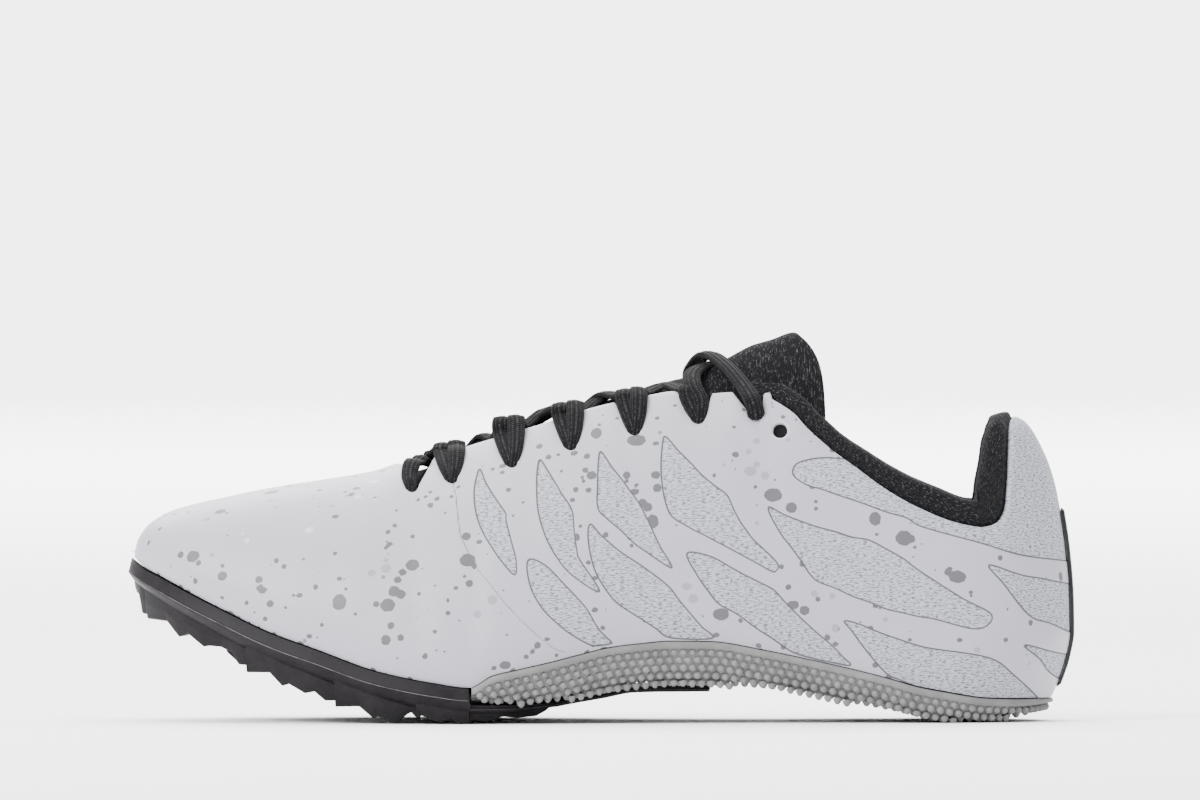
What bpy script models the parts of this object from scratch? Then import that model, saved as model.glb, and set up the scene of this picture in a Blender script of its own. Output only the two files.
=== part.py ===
"""Left sprint shoe: hollow upper, tongue, collar, insole, lugged plate, outsole, lace.

All sizes are millimetres and every mesh is scaled to metres as it is made.
Toe towards -X, heel towards +X, outer side of the foot towards -Y, floor at Z = 0.
"""
import math

import bmesh
import bpy

MM = 0.001

# Driving sizes
SHOE_LENGTH = 284.1
BALL_WIDTH = 95.0
INSTEP_HEIGHT = 99.0
HEEL_HEIGHT = 92.6
TOE_SPRING = 49.0

# Upper
UPPER_WALL = 1.8
UPPER_BULGE = 1.8
BULGE_HEIGHT = 9.0
HEEL_BULGE = 5.8
TOE_ROUND = 0.20
HEEL_ROUND = 0.12
SECTIONS = 37
SECTION_STEPS = 11

# Reach of the cutting forms past the surfaces that they cut
INSIDE_DROP = 6.0
LINING_DROP = 12.0
HEEL_OVERRUN = 14.0
NOTCH_TALL = 11.0

# Fits between pieces
SEAT_GAP = 0.3
LINING_GAP = 0.35
LACE_GAP = 0.4

# Sole
RIDGE_OUT = 1.95
RIDGE_DROP = 4.5
PLATE_EDGE_OUT = 0.9
PLATE_EDGE_IN = 2.0
OUTSOLE_FRONT = 0.369
OUTSOLE_STRIP = 2.0
OUTSOLE_OUT = 0.55
PLATE_END = 0.63
PLATE_STEP = 0.366
INSOLE_THICK = 3.0

# Collar, tongue, lace, heel strip
COLLAR_PAD = 4.2
COLLAR_THIN = 1.2
COLLAR_STAND = 4.5
COLLAR_DEPTH = 17.0
TONGUE_THICK = 3.2
TONGUE_TIP_THICK = 7.0
TONGUE_SLOT = 15.0
LACE_WIDTH = 5.4
LACE_THICK = 1.5
LACE_REACH = 2.5
LACE_LIFT = 1.1
NOTCH_RADIUS = 1.9
EYELET_DIAMETER = 4.2
STRIP_WIDTH = 9.0
STRIP_THICK = 0.8
STRIP_TOP = 64.0

SEAT_LENGTH = SHOE_LENGTH - RIDGE_OUT - HEEL_BULGE - SEAT_GAP - STRIP_THICK
TOE_X = RIDGE_OUT - SHOE_LENGTH / 2.0

# Plan of the upper's lower edge: share of the seat's length, centre and half width as
# shares of the ball width, sideways shift of the crown, and roundness of the section
PLAN_COLUMNS = ("share", "centre", "half", "ridge", "round")
PLAN = [
    (0.000, 0.100, 0.390, 0.000, 2.15),
    (0.050, 0.092, 0.398, 0.004, 2.15),
    (0.100, 0.075, 0.395, 0.010, 2.10),
    (0.150, 0.056, 0.405, 0.018, 2.10),
    (0.200, 0.038, 0.432, 0.025, 2.05),
    (0.250, 0.022, 0.463, 0.032, 1.95),
    (0.300, 0.006, 0.487, 0.036, 1.88),
    (0.340, -0.004, 0.497, 0.038, 1.82),
    (0.380, -0.014, 0.490, 0.038, 1.78),
    (0.430, -0.026, 0.463, 0.038, 1.76),
    (0.480, -0.036, 0.428, 0.036, 1.76),
    (0.530, -0.043, 0.392, 0.034, 1.80),
    (0.580, -0.045, 0.364, 0.030, 1.86),
    (0.630, -0.043, 0.348, 0.026, 1.95),
    (0.680, -0.037, 0.337, 0.020, 2.08),
    (0.730, -0.030, 0.334, 0.014, 2.20),
    (0.780, -0.022, 0.336, 0.008, 2.30),
    (0.830, -0.015, 0.339, 0.004, 2.30),
    (0.880, -0.009, 0.330, 0.000, 2.30),
    (0.930, -0.004, 0.317, 0.000, 2.30),
    (1.000, 0.000, 0.300, 0.000, 2.30),
]

# Lines of the sole in side view, as shares of the toe spring: the seat that the upper
# stands on, the underside of the outsole and the underside of the plate
SOLE_COLUMNS = ("share", "seat", "outsole", "plate")
SOLE = [
    (0.000, 1.000, 0.820, 0.820),
    (0.011, 0.946, 0.780, 0.780),
    (0.034, 0.878, 0.700, 0.700),
    (0.060, 0.799, 0.618, 0.618),
    (0.098, 0.692, 0.510, 0.510),
    (0.149, 0.557, 0.376, 0.376),
    (0.202, 0.450, 0.270, 0.270),
    (0.267, 0.321, 0.165, 0.150),
    (0.325, 0.254, 0.125, 0.085),
    (0.366, 0.223, 0.121, 0.061),
    (0.392, 0.298, 0.119, 0.061),
    (0.417, 0.331, 0.119, 0.066),
    (0.453, 0.377, 0.127, 0.090),
    (0.487, 0.426, 0.159, 0.124),
    (0.519, 0.468, 0.189, 0.154),
    (0.551, 0.490, 0.222, 0.186),
    (0.585, 0.505, 0.226, 0.190),
    (0.624, 0.503, 0.226, 0.190),
    (0.689, 0.445, 0.206, 0.190),
    (0.732, 0.395, 0.174, 0.150),
    (0.780, 0.334, 0.116, 0.100),
    (0.823, 0.272, 0.073, 0.060),
    (0.853, 0.223, 0.032, 0.030),
    (0.874, 0.200, 0.000, 0.000),
    (0.930, 0.152, 0.000, 0.000),
    (0.963, 0.146, 0.028, 0.028),
    (1.000, 0.145, 0.086, 0.086),
]

# Top line in side view as a share of the instep height, and half width of the throat.
# At the toe the line follows the toe spring, which the instep height is TOE_RATIO times.
TOE_RATIO = 2.0204
TOP_COLUMNS = ("share", "edge", "throat")
TOP = [
    (0.0000, 0.512, 0.0),
    (0.0022, 0.536, 0.0),
    (0.0087, 0.572, 0.0),
    (0.0202, 0.604, 0.0),
    (0.0381, 0.632, 0.0),
    (0.0556, 0.648, 0.0),
    (0.1024, 0.678, 0.0),
    (0.1498, 0.705, 0.0),
    (0.2114, 0.732, 0.0),
    (0.2506, 0.750, 0.0),
    (0.2850, 0.772, 5.5),
    (0.3291, 0.803, 7.5),
    (0.3585, 0.830, 8.5),
    (0.3912, 0.858, 9.0),
    (0.4391, 0.897, 9.5),
    (0.5045, 0.953, 10.5),
    (0.5590, 0.985, 11.5),
    (0.5895, 0.997, 12.5),
    (0.6375, 0.985, 16.7),
    (0.6600, 0.985, 18.6),
    (0.6887, 0.985, 19.9),
    (1.0000, 0.985, 19.9),
]

# Crown of the dome at the ankle as a share of the heel height, and where it takes over
# from the crown that the top line gives
ANKLE_COLUMNS = ("share", "crown")
ANKLE = [
    (0.6000, 1.148),
    (0.6600, 1.227),
    (0.6887, 1.253),
    (0.7323, 1.325),
    (0.8000, 1.340),
    (1.0000, 1.349),
]
ANKLE_START = 0.62
ANKLE_FULL = 0.69

# Lean of the heel's back: height as a share of the heel height, and shift back as a
# share of the heel bulge
LEAN_COLUMNS = ("height", "back")
LEAN = [
    (0.000, -0.60),
    (0.077, 0.00),
    (0.137, 0.42),
    (0.212, 0.80),
    (0.290, 1.00),
    (0.391, 0.98),
    (0.544, 0.80),
    (0.698, 0.44),
    (0.767, 0.22),
    (0.832, -0.10),
    (0.896, -0.55),
    (0.945, -1.00),
    (0.976, -1.42),
    (1.000, -1.85),
    (1.150, -3.30),
]

# Edge of the upper at the collar in side view: share of the shoe's length and share of
# the heel height, from the top of the eyestay to the top of the heel. The front rows
# follow the instep height, which is RATIO times the heel height as the shares are read.
RATIO = 1.069
COLLAR_COLUMNS = ("share", "height")
COLLAR = [
    (0.6786, 1.048),
    (0.6910, 1.025),
    (0.7026, 1.000),
    (0.7160, 0.955),
    (0.7290, 0.918),
    (0.7430, 0.881),
    (0.7670, 0.828),
    (0.7910, 0.773),
    (0.8160, 0.724),
    (0.8400, 0.687),
    (0.8670, 0.653),
    (0.8850, 0.639),
    (0.9010, 0.632),
    (0.9160, 0.643),
    (0.9270, 0.685),
    (0.9310, 0.785),
    (0.9330, 0.890),
    (0.9345, 0.960),
    (0.9365, 0.990),
]

# Lacing notches in side view: place of the bottom as share of the shoe's length and of
# the instep height, and how far each edge slants out for each millimetre up
NOTCH_COLUMNS = ("share", "bottom", "front_slant", "rear_slant")
NOTCHES = [
    (0.3008, 0.697, 0.10, 0.55),
    (0.3429, 0.723, 0.42, 0.12),
    (0.4059, 0.771, 0.46, 0.14),
    (0.4682, 0.823, 0.50, 0.13),
    (0.5353, 0.868, 0.50, 0.13),
    (0.6023, 0.902, 0.46, 0.30),
    (0.6625, 0.916, 0.80, 0.05),
]
EYELET_PLACE = (0.6879, 0.883)

# Lugs of the plate: front edge as a share of the shoe's length, place across as a share
# of the half width, length, width, height of the tip above the floor
LUG_COLUMNS = ("front", "across", "length", "width", "tip")
LUGS = [
    (0.0205, 0.45, 9.8, 7.5, 30.4),
    (0.0515, 0.62, 7.3, 8.0, 25.4),
    (0.0745, 0.78, 7.9, 8.5, 22.6),
    (0.1000, 0.42, 7.3, 8.0, 17.8),
    (0.1285, 0.84, 10.4, 9.0, 15.0),
    (0.1540, 0.46, 7.9, 8.0, 11.2),
    (0.1800, 0.85, 9.2, 9.0, 9.0),
    (0.2030, 0.50, 7.3, 8.0, 6.8),
    (0.2215, 0.86, 10.4, 9.0, 5.0),
    (0.2480, 0.52, 7.9, 8.0, 1.6),
    (0.2705, 0.86, 9.2, 9.0, 0.0),
    (0.2960, 0.52, 7.9, 8.0, 0.0),
    (0.3190, 0.86, 9.8, 9.0, 0.0),
    (0.3450, 0.50, 7.9, 8.0, 0.0),
    (0.3740, 0.80, 9.2, 9.0, 0.0),
    (0.4040, 0.46, 7.9, 8.0, 1.5),
    (0.4310, 0.72, 7.3, 8.0, 2.6),
    (0.4840, 0.45, 7.3, 8.0, 5.9),
]
LUG_TIP = 0.62
LUG_SINK = 2.6
TAIL_SINK = 0.7

# Crown of the tongue above the dome of the upper, by share of the seat's length
TONGUE_COLUMNS = ("share", "lift", "half")
TONGUE = [
    (0.260, -1.5, 12.0),
    (0.300, -1.5, 14.0),
    (0.400, -1.2, 17.0),
    (0.500, -1.0, 20.0),
    (0.600, -0.4, 22.0),
    (0.650, 2.0, 23.0),
    (0.690, 4.6, 23.0),
    (0.730, 5.8, 22.0),
]
TONGUE_START = 0.268
TONGUE_TIP = 0.722
TONGUE_RAKE = 0.42
TONGUE_INSET = UPPER_WALL + LINING_GAP + 0.5


def column(table, columns, name):
    """One named column of a table, as a list."""
    place = columns.index(name)
    return [row[place] for row in table]


def slopes(xs, ys):
    """Slopes at the rows that keep the curve between them free of overshoot."""
    gaps = [xs[i + 1] - xs[i] for i in range(len(xs) - 1)]
    rises = [(ys[i + 1] - ys[i]) / gaps[i] for i in range(len(gaps))]
    inner = []
    for i in range(1, len(xs) - 1):
        before = rises[i - 1]
        after = rises[i]
        if before * after <= 0.0:
            inner.append(0.0)
            continue
        first = 2.0 * gaps[i] + gaps[i - 1]
        second = gaps[i] + 2.0 * gaps[i - 1]
        inner.append((first + second) / (first / before + second / after))
    return [rises[0]] + inner + [rises[-1]]


def curve(table, columns, key, name):
    """Smooth function through one column of a table."""
    xs = column(table, columns, key)
    ys = column(table, columns, name)
    ms = slopes(xs, ys)

    def value(x):
        x = min(max(x, xs[0]), xs[-1])
        i = 0
        while i < len(xs) - 2 and x > xs[i + 1]:
            i += 1
        width = xs[i + 1] - xs[i]
        t = (x - xs[i]) / width
        a = (1.0 + 2.0 * t) * (1.0 - t) ** 2 * ys[i]
        b = t * (1.0 - t) ** 2 * width * ms[i]
        c = t * t * (3.0 - 2.0 * t) * ys[i + 1]
        d = t * t * (t - 1.0) * width * ms[i + 1]
        return a + b + c + d

    return value


centre_share = curve(PLAN, PLAN_COLUMNS, "share", "centre")
half_share = curve(PLAN, PLAN_COLUMNS, "share", "half")
ridge_share = curve(PLAN, PLAN_COLUMNS, "share", "ridge")
roundness = curve(PLAN, PLAN_COLUMNS, "share", "round")
seat_share = curve(SOLE, SOLE_COLUMNS, "share", "seat")
outsole_share = curve(SOLE, SOLE_COLUMNS, "share", "outsole")
plate_share = curve(SOLE, SOLE_COLUMNS, "share", "plate")
edge_share = curve(TOP, TOP_COLUMNS, "share", "edge")
throat_half = curve(TOP, TOP_COLUMNS, "share", "throat")
ankle_share = curve(ANKLE, ANKLE_COLUMNS, "share", "crown")
lean_share = curve(LEAN, LEAN_COLUMNS, "height", "back")
tongue_lift = curve(TONGUE, TONGUE_COLUMNS, "share", "lift")
tongue_half = curve(TONGUE, TONGUE_COLUMNS, "share", "half")


def seat_x(share):
    """Place along the shoe for a share of the seat's length."""
    return TOE_X + share * SEAT_LENGTH


def shoe_x(share):
    """Place along the shoe for a share of its whole length."""
    return (share - 0.5) * SHOE_LENGTH


def end_round(share):
    """Roundness of the plan at the toe and at the heel."""
    toe = min(share / TOE_ROUND, 1.0)
    heel = min((1.0 - share) / HEEL_ROUND, 1.0)
    return math.sqrt(max(1.0 - (1.0 - toe) ** 2, 0.0) * max(1.0 - (1.0 - heel) ** 2, 0.0))


def half_width(share):
    return BALL_WIDTH * half_share(share) * end_round(share)


def centre_y(share):
    return BALL_WIDTH * centre_share(share)


def seat_z(share):
    return TOE_SPRING * seat_share(share)


def top_z(share):
    """Height of the upper's edge at the throat, and of its top line in front of it."""
    toe = 1.0 - smooth_step(0.0, 0.25, share)
    tall = INSTEP_HEIGHT + (TOE_SPRING * TOE_RATIO - INSTEP_HEIGHT) * toe
    return tall * edge_share(share)


def crown_z(share):
    """Top of the closed dome that the upper is cut from."""
    seat = seat_z(share)
    power = roundness(share)
    part = min(throat_half(share) / max(half_width(share), 1.0), 0.62)
    fall = (1.0 - part ** power) ** (1.0 / power)
    instep = seat + (top_z(share) - seat) / fall
    ankle = HEEL_HEIGHT * ankle_share(share)
    return instep + (ankle - instep) * smooth_step(ANKLE_START, ANKLE_FULL, share)


def smooth_step(low, high, x):
    t = min(max((x - low) / (high - low), 0.0), 1.0)
    return t * t * (3.0 - 2.0 * t)


def dome_point(share, turn):
    """Point of the upper's outer form.

    share runs from toe to heel, turn from -1 at the outer lower edge over 0 at the
    crown to +1 at the inner lower edge.
    """
    side = -1.0 if turn < 0.0 else 1.0
    angle = (1.0 - abs(turn)) * math.pi / 2.0
    power = 2.0 / roundness(share)
    seat = seat_z(share)
    rise = crown_z(share) - seat
    up = max(math.sin(angle), 0.0) ** power
    out = max(math.cos(angle), 0.0) ** power
    height = rise * up
    half = half_width(share)
    swell = min(half / 20.0, 1.0) * UPPER_BULGE
    swell *= height / BULGE_HEIGHT * math.exp(1.0 - height / BULGE_HEIGHT)
    y = centre_y(share) + BALL_WIDTH * ridge_share(share) * up * up
    y += side * (half * out + swell * min(out * 4.0, 1.0))
    z = seat + height
    back = HEEL_BULGE * lean_share(z / HEEL_HEIGHT)
    x = seat_x(share) + back * smooth_step(0.80, 1.0, share)
    return (x, y, z)


def dome_height(share, y):
    """Height of the upper's outer form at one place across."""
    low = -1.0
    high = 0.0
    if y > dome_point(share, 0.0)[1]:
        low = 1.0
    for _ in range(40):
        middle = (low + high) / 2.0
        here = dome_point(share, middle)[1]
        if (here < y) == (low < 0.0):
            low = middle
        else:
            high = middle
    return dome_point(share, (low + high) / 2.0)[2]


def ease(t, power=1.7):
    """Steps that crowd together at both ends."""
    if t < 0.5:
        return 0.5 * (2.0 * t) ** power
    return 1.0 - 0.5 * (2.0 - 2.0 * t) ** power


def shared_stations():
    """Stations that the upper, the insole and the sole all turn on."""
    fixed = [PLATE_STEP, OUTSOLE_FRONT, OUTSOLE_FRONT + 0.007, OUTSOLE_FRONT + 0.023]
    made = list(fixed)
    for i in range(SECTIONS + 1):
        share = ease(i / SECTIONS)
        if min(abs(share - other) for other in fixed) > 0.006:
            made.append(share)
    return sorted(made)


def plan_middle():
    """Middle of the plate's plan across, which the whole shoe is centred on."""
    outer = []
    for share in shared_stations():
        if share <= PLATE_STEP:
            outer.append(plan_point(share, -1.0, RIDGE_OUT)[1])
            outer.append(plan_point(share, 1.0, RIDGE_OUT)[1])
    return 0.5 * (min(outer) + max(outer))


def mesh_object(name, points, faces, material=None):
    """A mesh object in metres from points in millimetres, with welded poles."""
    middle = plan_middle()
    shape = bmesh.new()
    verts = [shape.verts.new((x * MM, (y - middle) * MM, z * MM)) for x, y, z in points]
    for face in faces:
        corners = []
        for index in face:
            if verts[index] not in corners:
                corners.append(verts[index])
        if len(corners) > 2:
            shape.faces.new(corners)
    bmesh.ops.remove_doubles(shape, verts=shape.verts, dist=0.00002)
    bmesh.ops.dissolve_degenerate(shape, edges=shape.edges, dist=0.00001)
    bmesh.ops.triangulate(shape, faces=shape.faces)
    bmesh.ops.recalc_face_normals(shape, faces=shape.faces)
    mesh = bpy.data.meshes.new(name)
    shape.to_mesh(mesh)
    shape.free()
    made = bpy.data.objects.new(name, mesh)
    bpy.context.collection.objects.link(made)
    if material is not None:
        mesh.materials.append(material)
    return made


def surface(name, base, metallic, rough):
    """A plain material for one piece."""
    made = bpy.data.materials.new(name)
    made.use_nodes = True
    shader = made.node_tree.nodes["Principled BSDF"]
    shader.inputs["Base Color"].default_value = (base[0], base[1], base[2], 1.0)
    shader.inputs["Metallic"].default_value = metallic
    shader.inputs["Roughness"].default_value = rough
    return made


def combine(target, tool, operation, overlapping=False):
    """Cut the tool from the target, keep their overlap, or join them."""
    tool.hide_render = True
    tool.display_type = "WIRE"
    made = target.modifiers.new(tool.name, "BOOLEAN")
    made.operation = operation
    made.solver = "EXACT"
    made.object = tool
    made.use_self = overlapping


def cross(a, b):
    return (a[1] * b[2] - a[2] * b[1], a[2] * b[0] - a[0] * b[2], a[0] * b[1] - a[1] * b[0])


def unit(a):
    size = math.sqrt(a[0] ** 2 + a[1] ** 2 + a[2] ** 2)
    return (a[0] / size, a[1] / size, a[2] / size)


def shift(a, b, scale):
    return (a[0] + b[0] * scale, a[1] + b[1] * scale, a[2] + b[2] * scale)


def dome_normal(share, turn):
    """Outward direction of the dome, from points a little way off on each side."""
    near = min(max(share, 0.0015), 0.9985)
    step = 0.001
    side = 0.01
    before = dome_point(near - step, turn)
    after = dome_point(near + step, turn)
    low = dome_point(near, max(turn - side, -1.0))
    high = dome_point(near, min(turn + side, 1.0))
    along = tuple(after[i] - before[i] for i in range(3))
    over = tuple(high[i] - low[i] for i in range(3))
    normal = cross(along, over)
    size = math.sqrt(sum(value * value for value in normal))
    if size < 1e-9:
        return (0.0, 0.0, 1.0)
    return unit(normal)


def lining_pad(share):
    """Thickness of the collar's lining, thin where it meets the tongue."""
    return COLLAR_THIN + (COLLAR_PAD - COLLAR_THIN) * smooth_step(0.69, 0.80, share)


def dome_grid(depth, foot_drop):
    """Rows of points over the dome, set inwards, with the lower edge carried down."""
    rows = []
    shares = shared_stations()
    for share in shares:
        inset = depth(share) if callable(depth) else depth
        row = []
        for j in range(2 * SECTION_STEPS + 1):
            turn = j / SECTION_STEPS - 1.0
            turn = math.copysign(abs(turn) ** 0.9, turn)
            place = dome_point(share, turn)
            if inset:
                push = dome_normal(share, turn)
                if share in (shares[0], shares[-1]):
                    push = unit((push[0], 0.0, push[2]))
                place = shift(place, push, -inset)
            row.append(place)
        if foot_drop:
            first = row[0]
            last = row[-1]
            row = [(first[0], first[1], first[2] - foot_drop)] + row
            row.append((last[0], last[1], last[2] - foot_drop))
        rows.append(row)
    return rows


def closed_rows(name, rows, material=None):
    """Solid from rows of points that run over the shoe; the underside is closed."""
    count = len(rows[0])
    points = []
    for place, row in enumerate(rows):
        if place in (0, len(rows) - 1):
            middle = sum(p[1] for p in row) / count
            row = [(0.5 * (p[0] + q[0]), middle, 0.5 * (p[2] + q[2]))
                   for p, q in zip(row, reversed(row))]
        points.extend(row)
    faces = []
    for i in range(len(rows) - 1):
        for j in range(count - 1):
            a = i * count + j
            faces.append((a, a + 1, a + count + 1, a + count))
        faces.append((i * count, (i + 1) * count, (i + 2) * count - 1, (i + 1) * count - 1))
    return mesh_object(name, points, faces, material)


def collar_edge():
    """Points of the upper's edge at the collar in side view."""
    points = []
    for share, height in COLLAR:
        front = 1.0 - smooth_step(0.68, 0.80, share)
        tall = HEEL_HEIGHT + (INSTEP_HEIGHT / RATIO - HEEL_HEIGHT) * front
        points.append((shoe_x(share), tall * height))
    return points


def prism(name, outline, low, high, axis):
    """Solid from a flat outline carried along Y or Z."""
    points = []
    for level in (low, high):
        for a, b in outline:
            points.append((a, level, b) if axis == "Y" else (a, b, level))
    count = len(outline)
    faces = [tuple(range(count)), tuple(range(2 * count - 1, count - 1, -1))]
    for i in range(count):
        j = (i + 1) % count
        faces.append((i, j, j + count, i + count))
    return mesh_object(name, points, faces)


def joined_prisms(name, outlines, low, high):
    """Several solids carried along Y, in one mesh."""
    points = []
    faces = []
    for outline in outlines:
        first = len(points)
        count = len(outline)
        for level in (low, high):
            points.extend((a, level, b) for a, b in outline)
        faces.append(tuple(range(first, first + count)))
        faces.append(tuple(range(first + 2 * count - 1, first + count - 1, -1)))
        for i in range(count):
            j = (i + 1) % count
            faces.append((first + i, first + j, first + j + count, first + i + count))
    return mesh_object(name, points, faces)


def plan_point(share, side, out):
    """Point of the seat's plan, moved outwards square to the plan."""
    step = 0.001
    near = min(max(share, step), 1.0 - step)
    x = seat_x(share)
    y = centre_y(share) + side * half_width(share)
    if share < step:
        return (x - out, y)
    if share > 1.0 - step:
        return (x + out, y)
    ahead = near + step
    behind = near - step
    run = seat_x(ahead) - seat_x(behind)
    swing = (centre_y(ahead) + side * half_width(ahead)
             - centre_y(behind) - side * half_width(behind))
    size = math.hypot(run, swing)
    return (x - side * swing / size * out, y + side * run / size * out)


def stack(name, shares, levels, closed_toe, closed_heel, material):
    """Solid from rings laid one below another.

    shares are the stations along the shoe; each level gives a function for how far it
    stands out from the plan and one for its height.
    """
    order = [(share, -1.0) for share in shares]
    back = [(share, 1.0) for share in reversed(shares)]
    if closed_heel:
        back = back[1:]
    if closed_toe:
        back = back[:-1]
    ring = order + back
    count = len(ring)
    points = []
    for out, height in levels:
        for share, side in ring:
            x, y = plan_point(share, side, out(share))
            points.append((x, y, height(share)))
    faces = []
    for level in range(len(levels) - 1):
        for i in range(count):
            j = (i + 1) % count
            a = level * count
            faces.append((a + i, a + j, a + count + j, a + count + i))
    pairs = []
    for i in range(len(shares)):
        mate = [k for k in range(count) if ring[k] == (shares[i], 1.0)]
        pairs.append((i, mate[0] if mate else i))
    for level, turned in ((0, False), (len(levels) - 1, True)):
        start = level * count
        for i in range(len(pairs) - 1):
            a, b = pairs[i]
            c, d = pairs[i + 1]
            face = (start + a, start + b, start + d, start + c)
            faces.append(face[::-1] if turned else face)
    return mesh_object(name, points, faces, material)


def build_upper(material):
    upper = closed_rows("upper", dome_grid(0.0, 0.0), material)
    inside = closed_rows("upper_inside", dome_grid(UPPER_WALL, INSIDE_DROP))
    combine(upper, inside, "DIFFERENCE")

    wide = BALL_WIDTH
    tall = 2.0 * INSTEP_HEIGHT
    edge = collar_edge()
    first = edge[0]
    rear = edge[-1][0] + HEEL_OVERRUN
    outline = edge + [(rear, HEEL_HEIGHT), (rear, tall), (first[0], tall)]
    combine(upper, prism("collar_cutter", outline, -wide, wide, "Y"), "DIFFERENCE")

    left = []
    right = []
    shares = [0.2865, 0.290, 0.296] + [0.304 + 0.0215 * i for i in range(20)]
    rounding = {0: 0.35, 1: 0.78, 2: 0.96}
    for i, share in enumerate(shares):
        half = max(throat_half(share), 3.0) * rounding.get(i, 1.0)
        middle = centre_y(share) + BALL_WIDTH * ridge_share(share)
        left.append((seat_x(share), middle - half))
        right.append((seat_x(share), middle + half))
    throat = left + right[::-1]
    floor = 0.62 * INSTEP_HEIGHT
    combine(upper, prism("throat_cutter", throat, floor, tall, "Z"), "DIFFERENCE")

    slots = []
    for share, bottom, front, rear in NOTCHES:
        x = shoe_x(share)
        z = INSTEP_HEIGHT * bottom + NOTCH_RADIUS
        turn = [math.pi + math.pi * k / 6.0 for k in range(7)]
        slot = [(x + NOTCH_RADIUS * math.cos(a), z + NOTCH_RADIUS * math.sin(a)) for a in turn]
        slot.append((x + NOTCH_RADIUS + rear * NOTCH_TALL, z + NOTCH_TALL))
        slot.append((x - NOTCH_RADIUS - front * NOTCH_TALL, z + NOTCH_TALL))
        slots.append(slot)
    combine(upper, joined_prisms("notch_cutter", slots[0::2], -wide, wide), "DIFFERENCE")
    combine(upper, joined_prisms("next_notch_cutter", slots[1::2], -wide, wide), "DIFFERENCE")

    x = shoe_x(EYELET_PLACE[0])
    z = INSTEP_HEIGHT * EYELET_PLACE[1]
    radius = EYELET_DIAMETER / 2.0
    hole = [(x + radius * math.cos(k * math.pi / 6.0), z + radius * math.sin(k * math.pi / 6.0))
            for k in range(12)]
    combine(upper, prism("eyelet_cutter", hole, -wide, wide, "Y"), "DIFFERENCE")
    return upper


def build_collar(material):
    outer = UPPER_WALL + LINING_GAP
    lining = closed_rows("collar_lining", dome_grid(outer, INSIDE_DROP), material)
    inside = closed_rows("collar_inside", dome_grid(lambda b: outer + lining_pad(b), LINING_DROP))
    combine(lining, inside, "DIFFERENCE")
    edge = collar_edge()
    upper_line = []
    lower_line = []
    for i, (x, z) in enumerate(edge):
        before = edge[max(i - 1, 0)]
        after = edge[min(i + 1, len(edge) - 1)]
        run = after[0] - before[0]
        rise = after[1] - before[1]
        size = math.hypot(run, rise)
        stand = COLLAR_STAND
        if x > shoe_x(0.89):
            stand = COLLAR_STAND + 2.5
        if i < 13:
            upper_line.append((x - rise / size * stand, z + run / size * stand))
        if i < 13:
            lower_line.append((x + rise / size * COLLAR_DEPTH, z - run / size * COLLAR_DEPTH))
    tab = [
        (shoe_x(0.9050), HEEL_HEIGHT * 0.745),
        (shoe_x(0.9120), HEEL_HEIGHT * 0.840),
        (shoe_x(0.9190), HEEL_HEIGHT * 0.935),
        (shoe_x(0.9290), HEEL_HEIGHT * 0.996),
        (shoe_x(0.9900), HEEL_HEIGHT * 0.996),
    ]
    rear = shoe_x(1.02)
    outline = upper_line + tab + [(rear, HEEL_HEIGHT * 0.9), (rear, lower_line[-1][1])]
    outline += lower_line[::-1]
    combine(lining, prism("collar_band", outline, -BALL_WIDTH, BALL_WIDTH, "Y"), "INTERSECT")
    return lining


def build_tongue(material):
    along = 20
    over = 10
    top = []
    low = []
    for i in range(along + 1):
        t = 1.0 - (1.0 - i / along) ** 1.5
        upper_row = []
        lower_row = []
        for j in range(over + 1):
            v = 2.0 * j / over - 1.0
            share = TONGUE_START + (TONGUE_TIP - TONGUE_START) * t
            half = tongue_half(share)
            middle = centre_y(share) + BALL_WIDTH * ridge_share(share)
            y = middle + v * half
            inset = TONGUE_INSET
            under = UPPER_WALL + 2.0 * LINING_GAP + lining_pad(share + 0.04) + 0.8
            inset += (under - inset) * smooth_step(0.62, 0.66, share)
            turn_point = dome_height(share, y)
            open_half = min(max(throat_half(share), 3.0), TONGUE_SLOT)
            slot = max(1.0 - (v * half / open_half) ** 2, 0.0)
            lift = tongue_lift(share)
            z = turn_point - inset + (lift * slot if lift > 0.0 else lift)
            step = 0.5
            tilt = (dome_height(share, y + step) - dome_height(share, y - step)) / (2.0 * step)
            steep = math.hypot(1.0, tilt)
            z -= (steep - 1.0) * inset
            drop = (dome_height(share, middle) - turn_point)
            x = seat_x(share) + TONGUE_RAKE * drop * t ** 3
            thick = TONGUE_THICK + (TONGUE_TIP_THICK - TONGUE_THICK) * smooth_step(0.62, 0.92, t)
            if share > 0.62:
                thick *= 1.0 - 0.45 * v * v
            end = math.sqrt(1.0 - min(max((t - 0.955) / 0.045, 0.0), 0.97) ** 2)
            flank = 1.0 - 0.5 * max((abs(v) - 0.86) / 0.14, 0.0) ** 2
            fall = 0.5 * thick * (1.0 - end)
            thick *= end * flank
            upper_row.append((x, y, z - fall - 0.2 * thick * (1.0 - flank)))
            lower_row.append((x, y - v * thick * 0.35, z - fall - thick * min(steep, 1.5)))
        top.append(upper_row)
        low.append(lower_row)
    count = over + 1
    points = [p for row in top for p in row] + [p for row in low for p in row]
    start = (along + 1) * count
    faces = []
    for i in range(along):
        for j in range(over):
            a = i * count + j
            faces.append((a, a + 1, a + count + 1, a + count))
            b = start + a
            faces.append((b, b + count, b + count + 1, b + 1))
    for i in range(along):
        for j in (0, over):
            a = i * count + j
            faces.append((a, a + count, start + a + count, start + a))
    for j in range(over):
        for i in (0, along):
            a = i * count + j
            faces.append((a, a + 1, start + a + 1, start + a))
    return mesh_object("tongue", points, faces, material)


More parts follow.
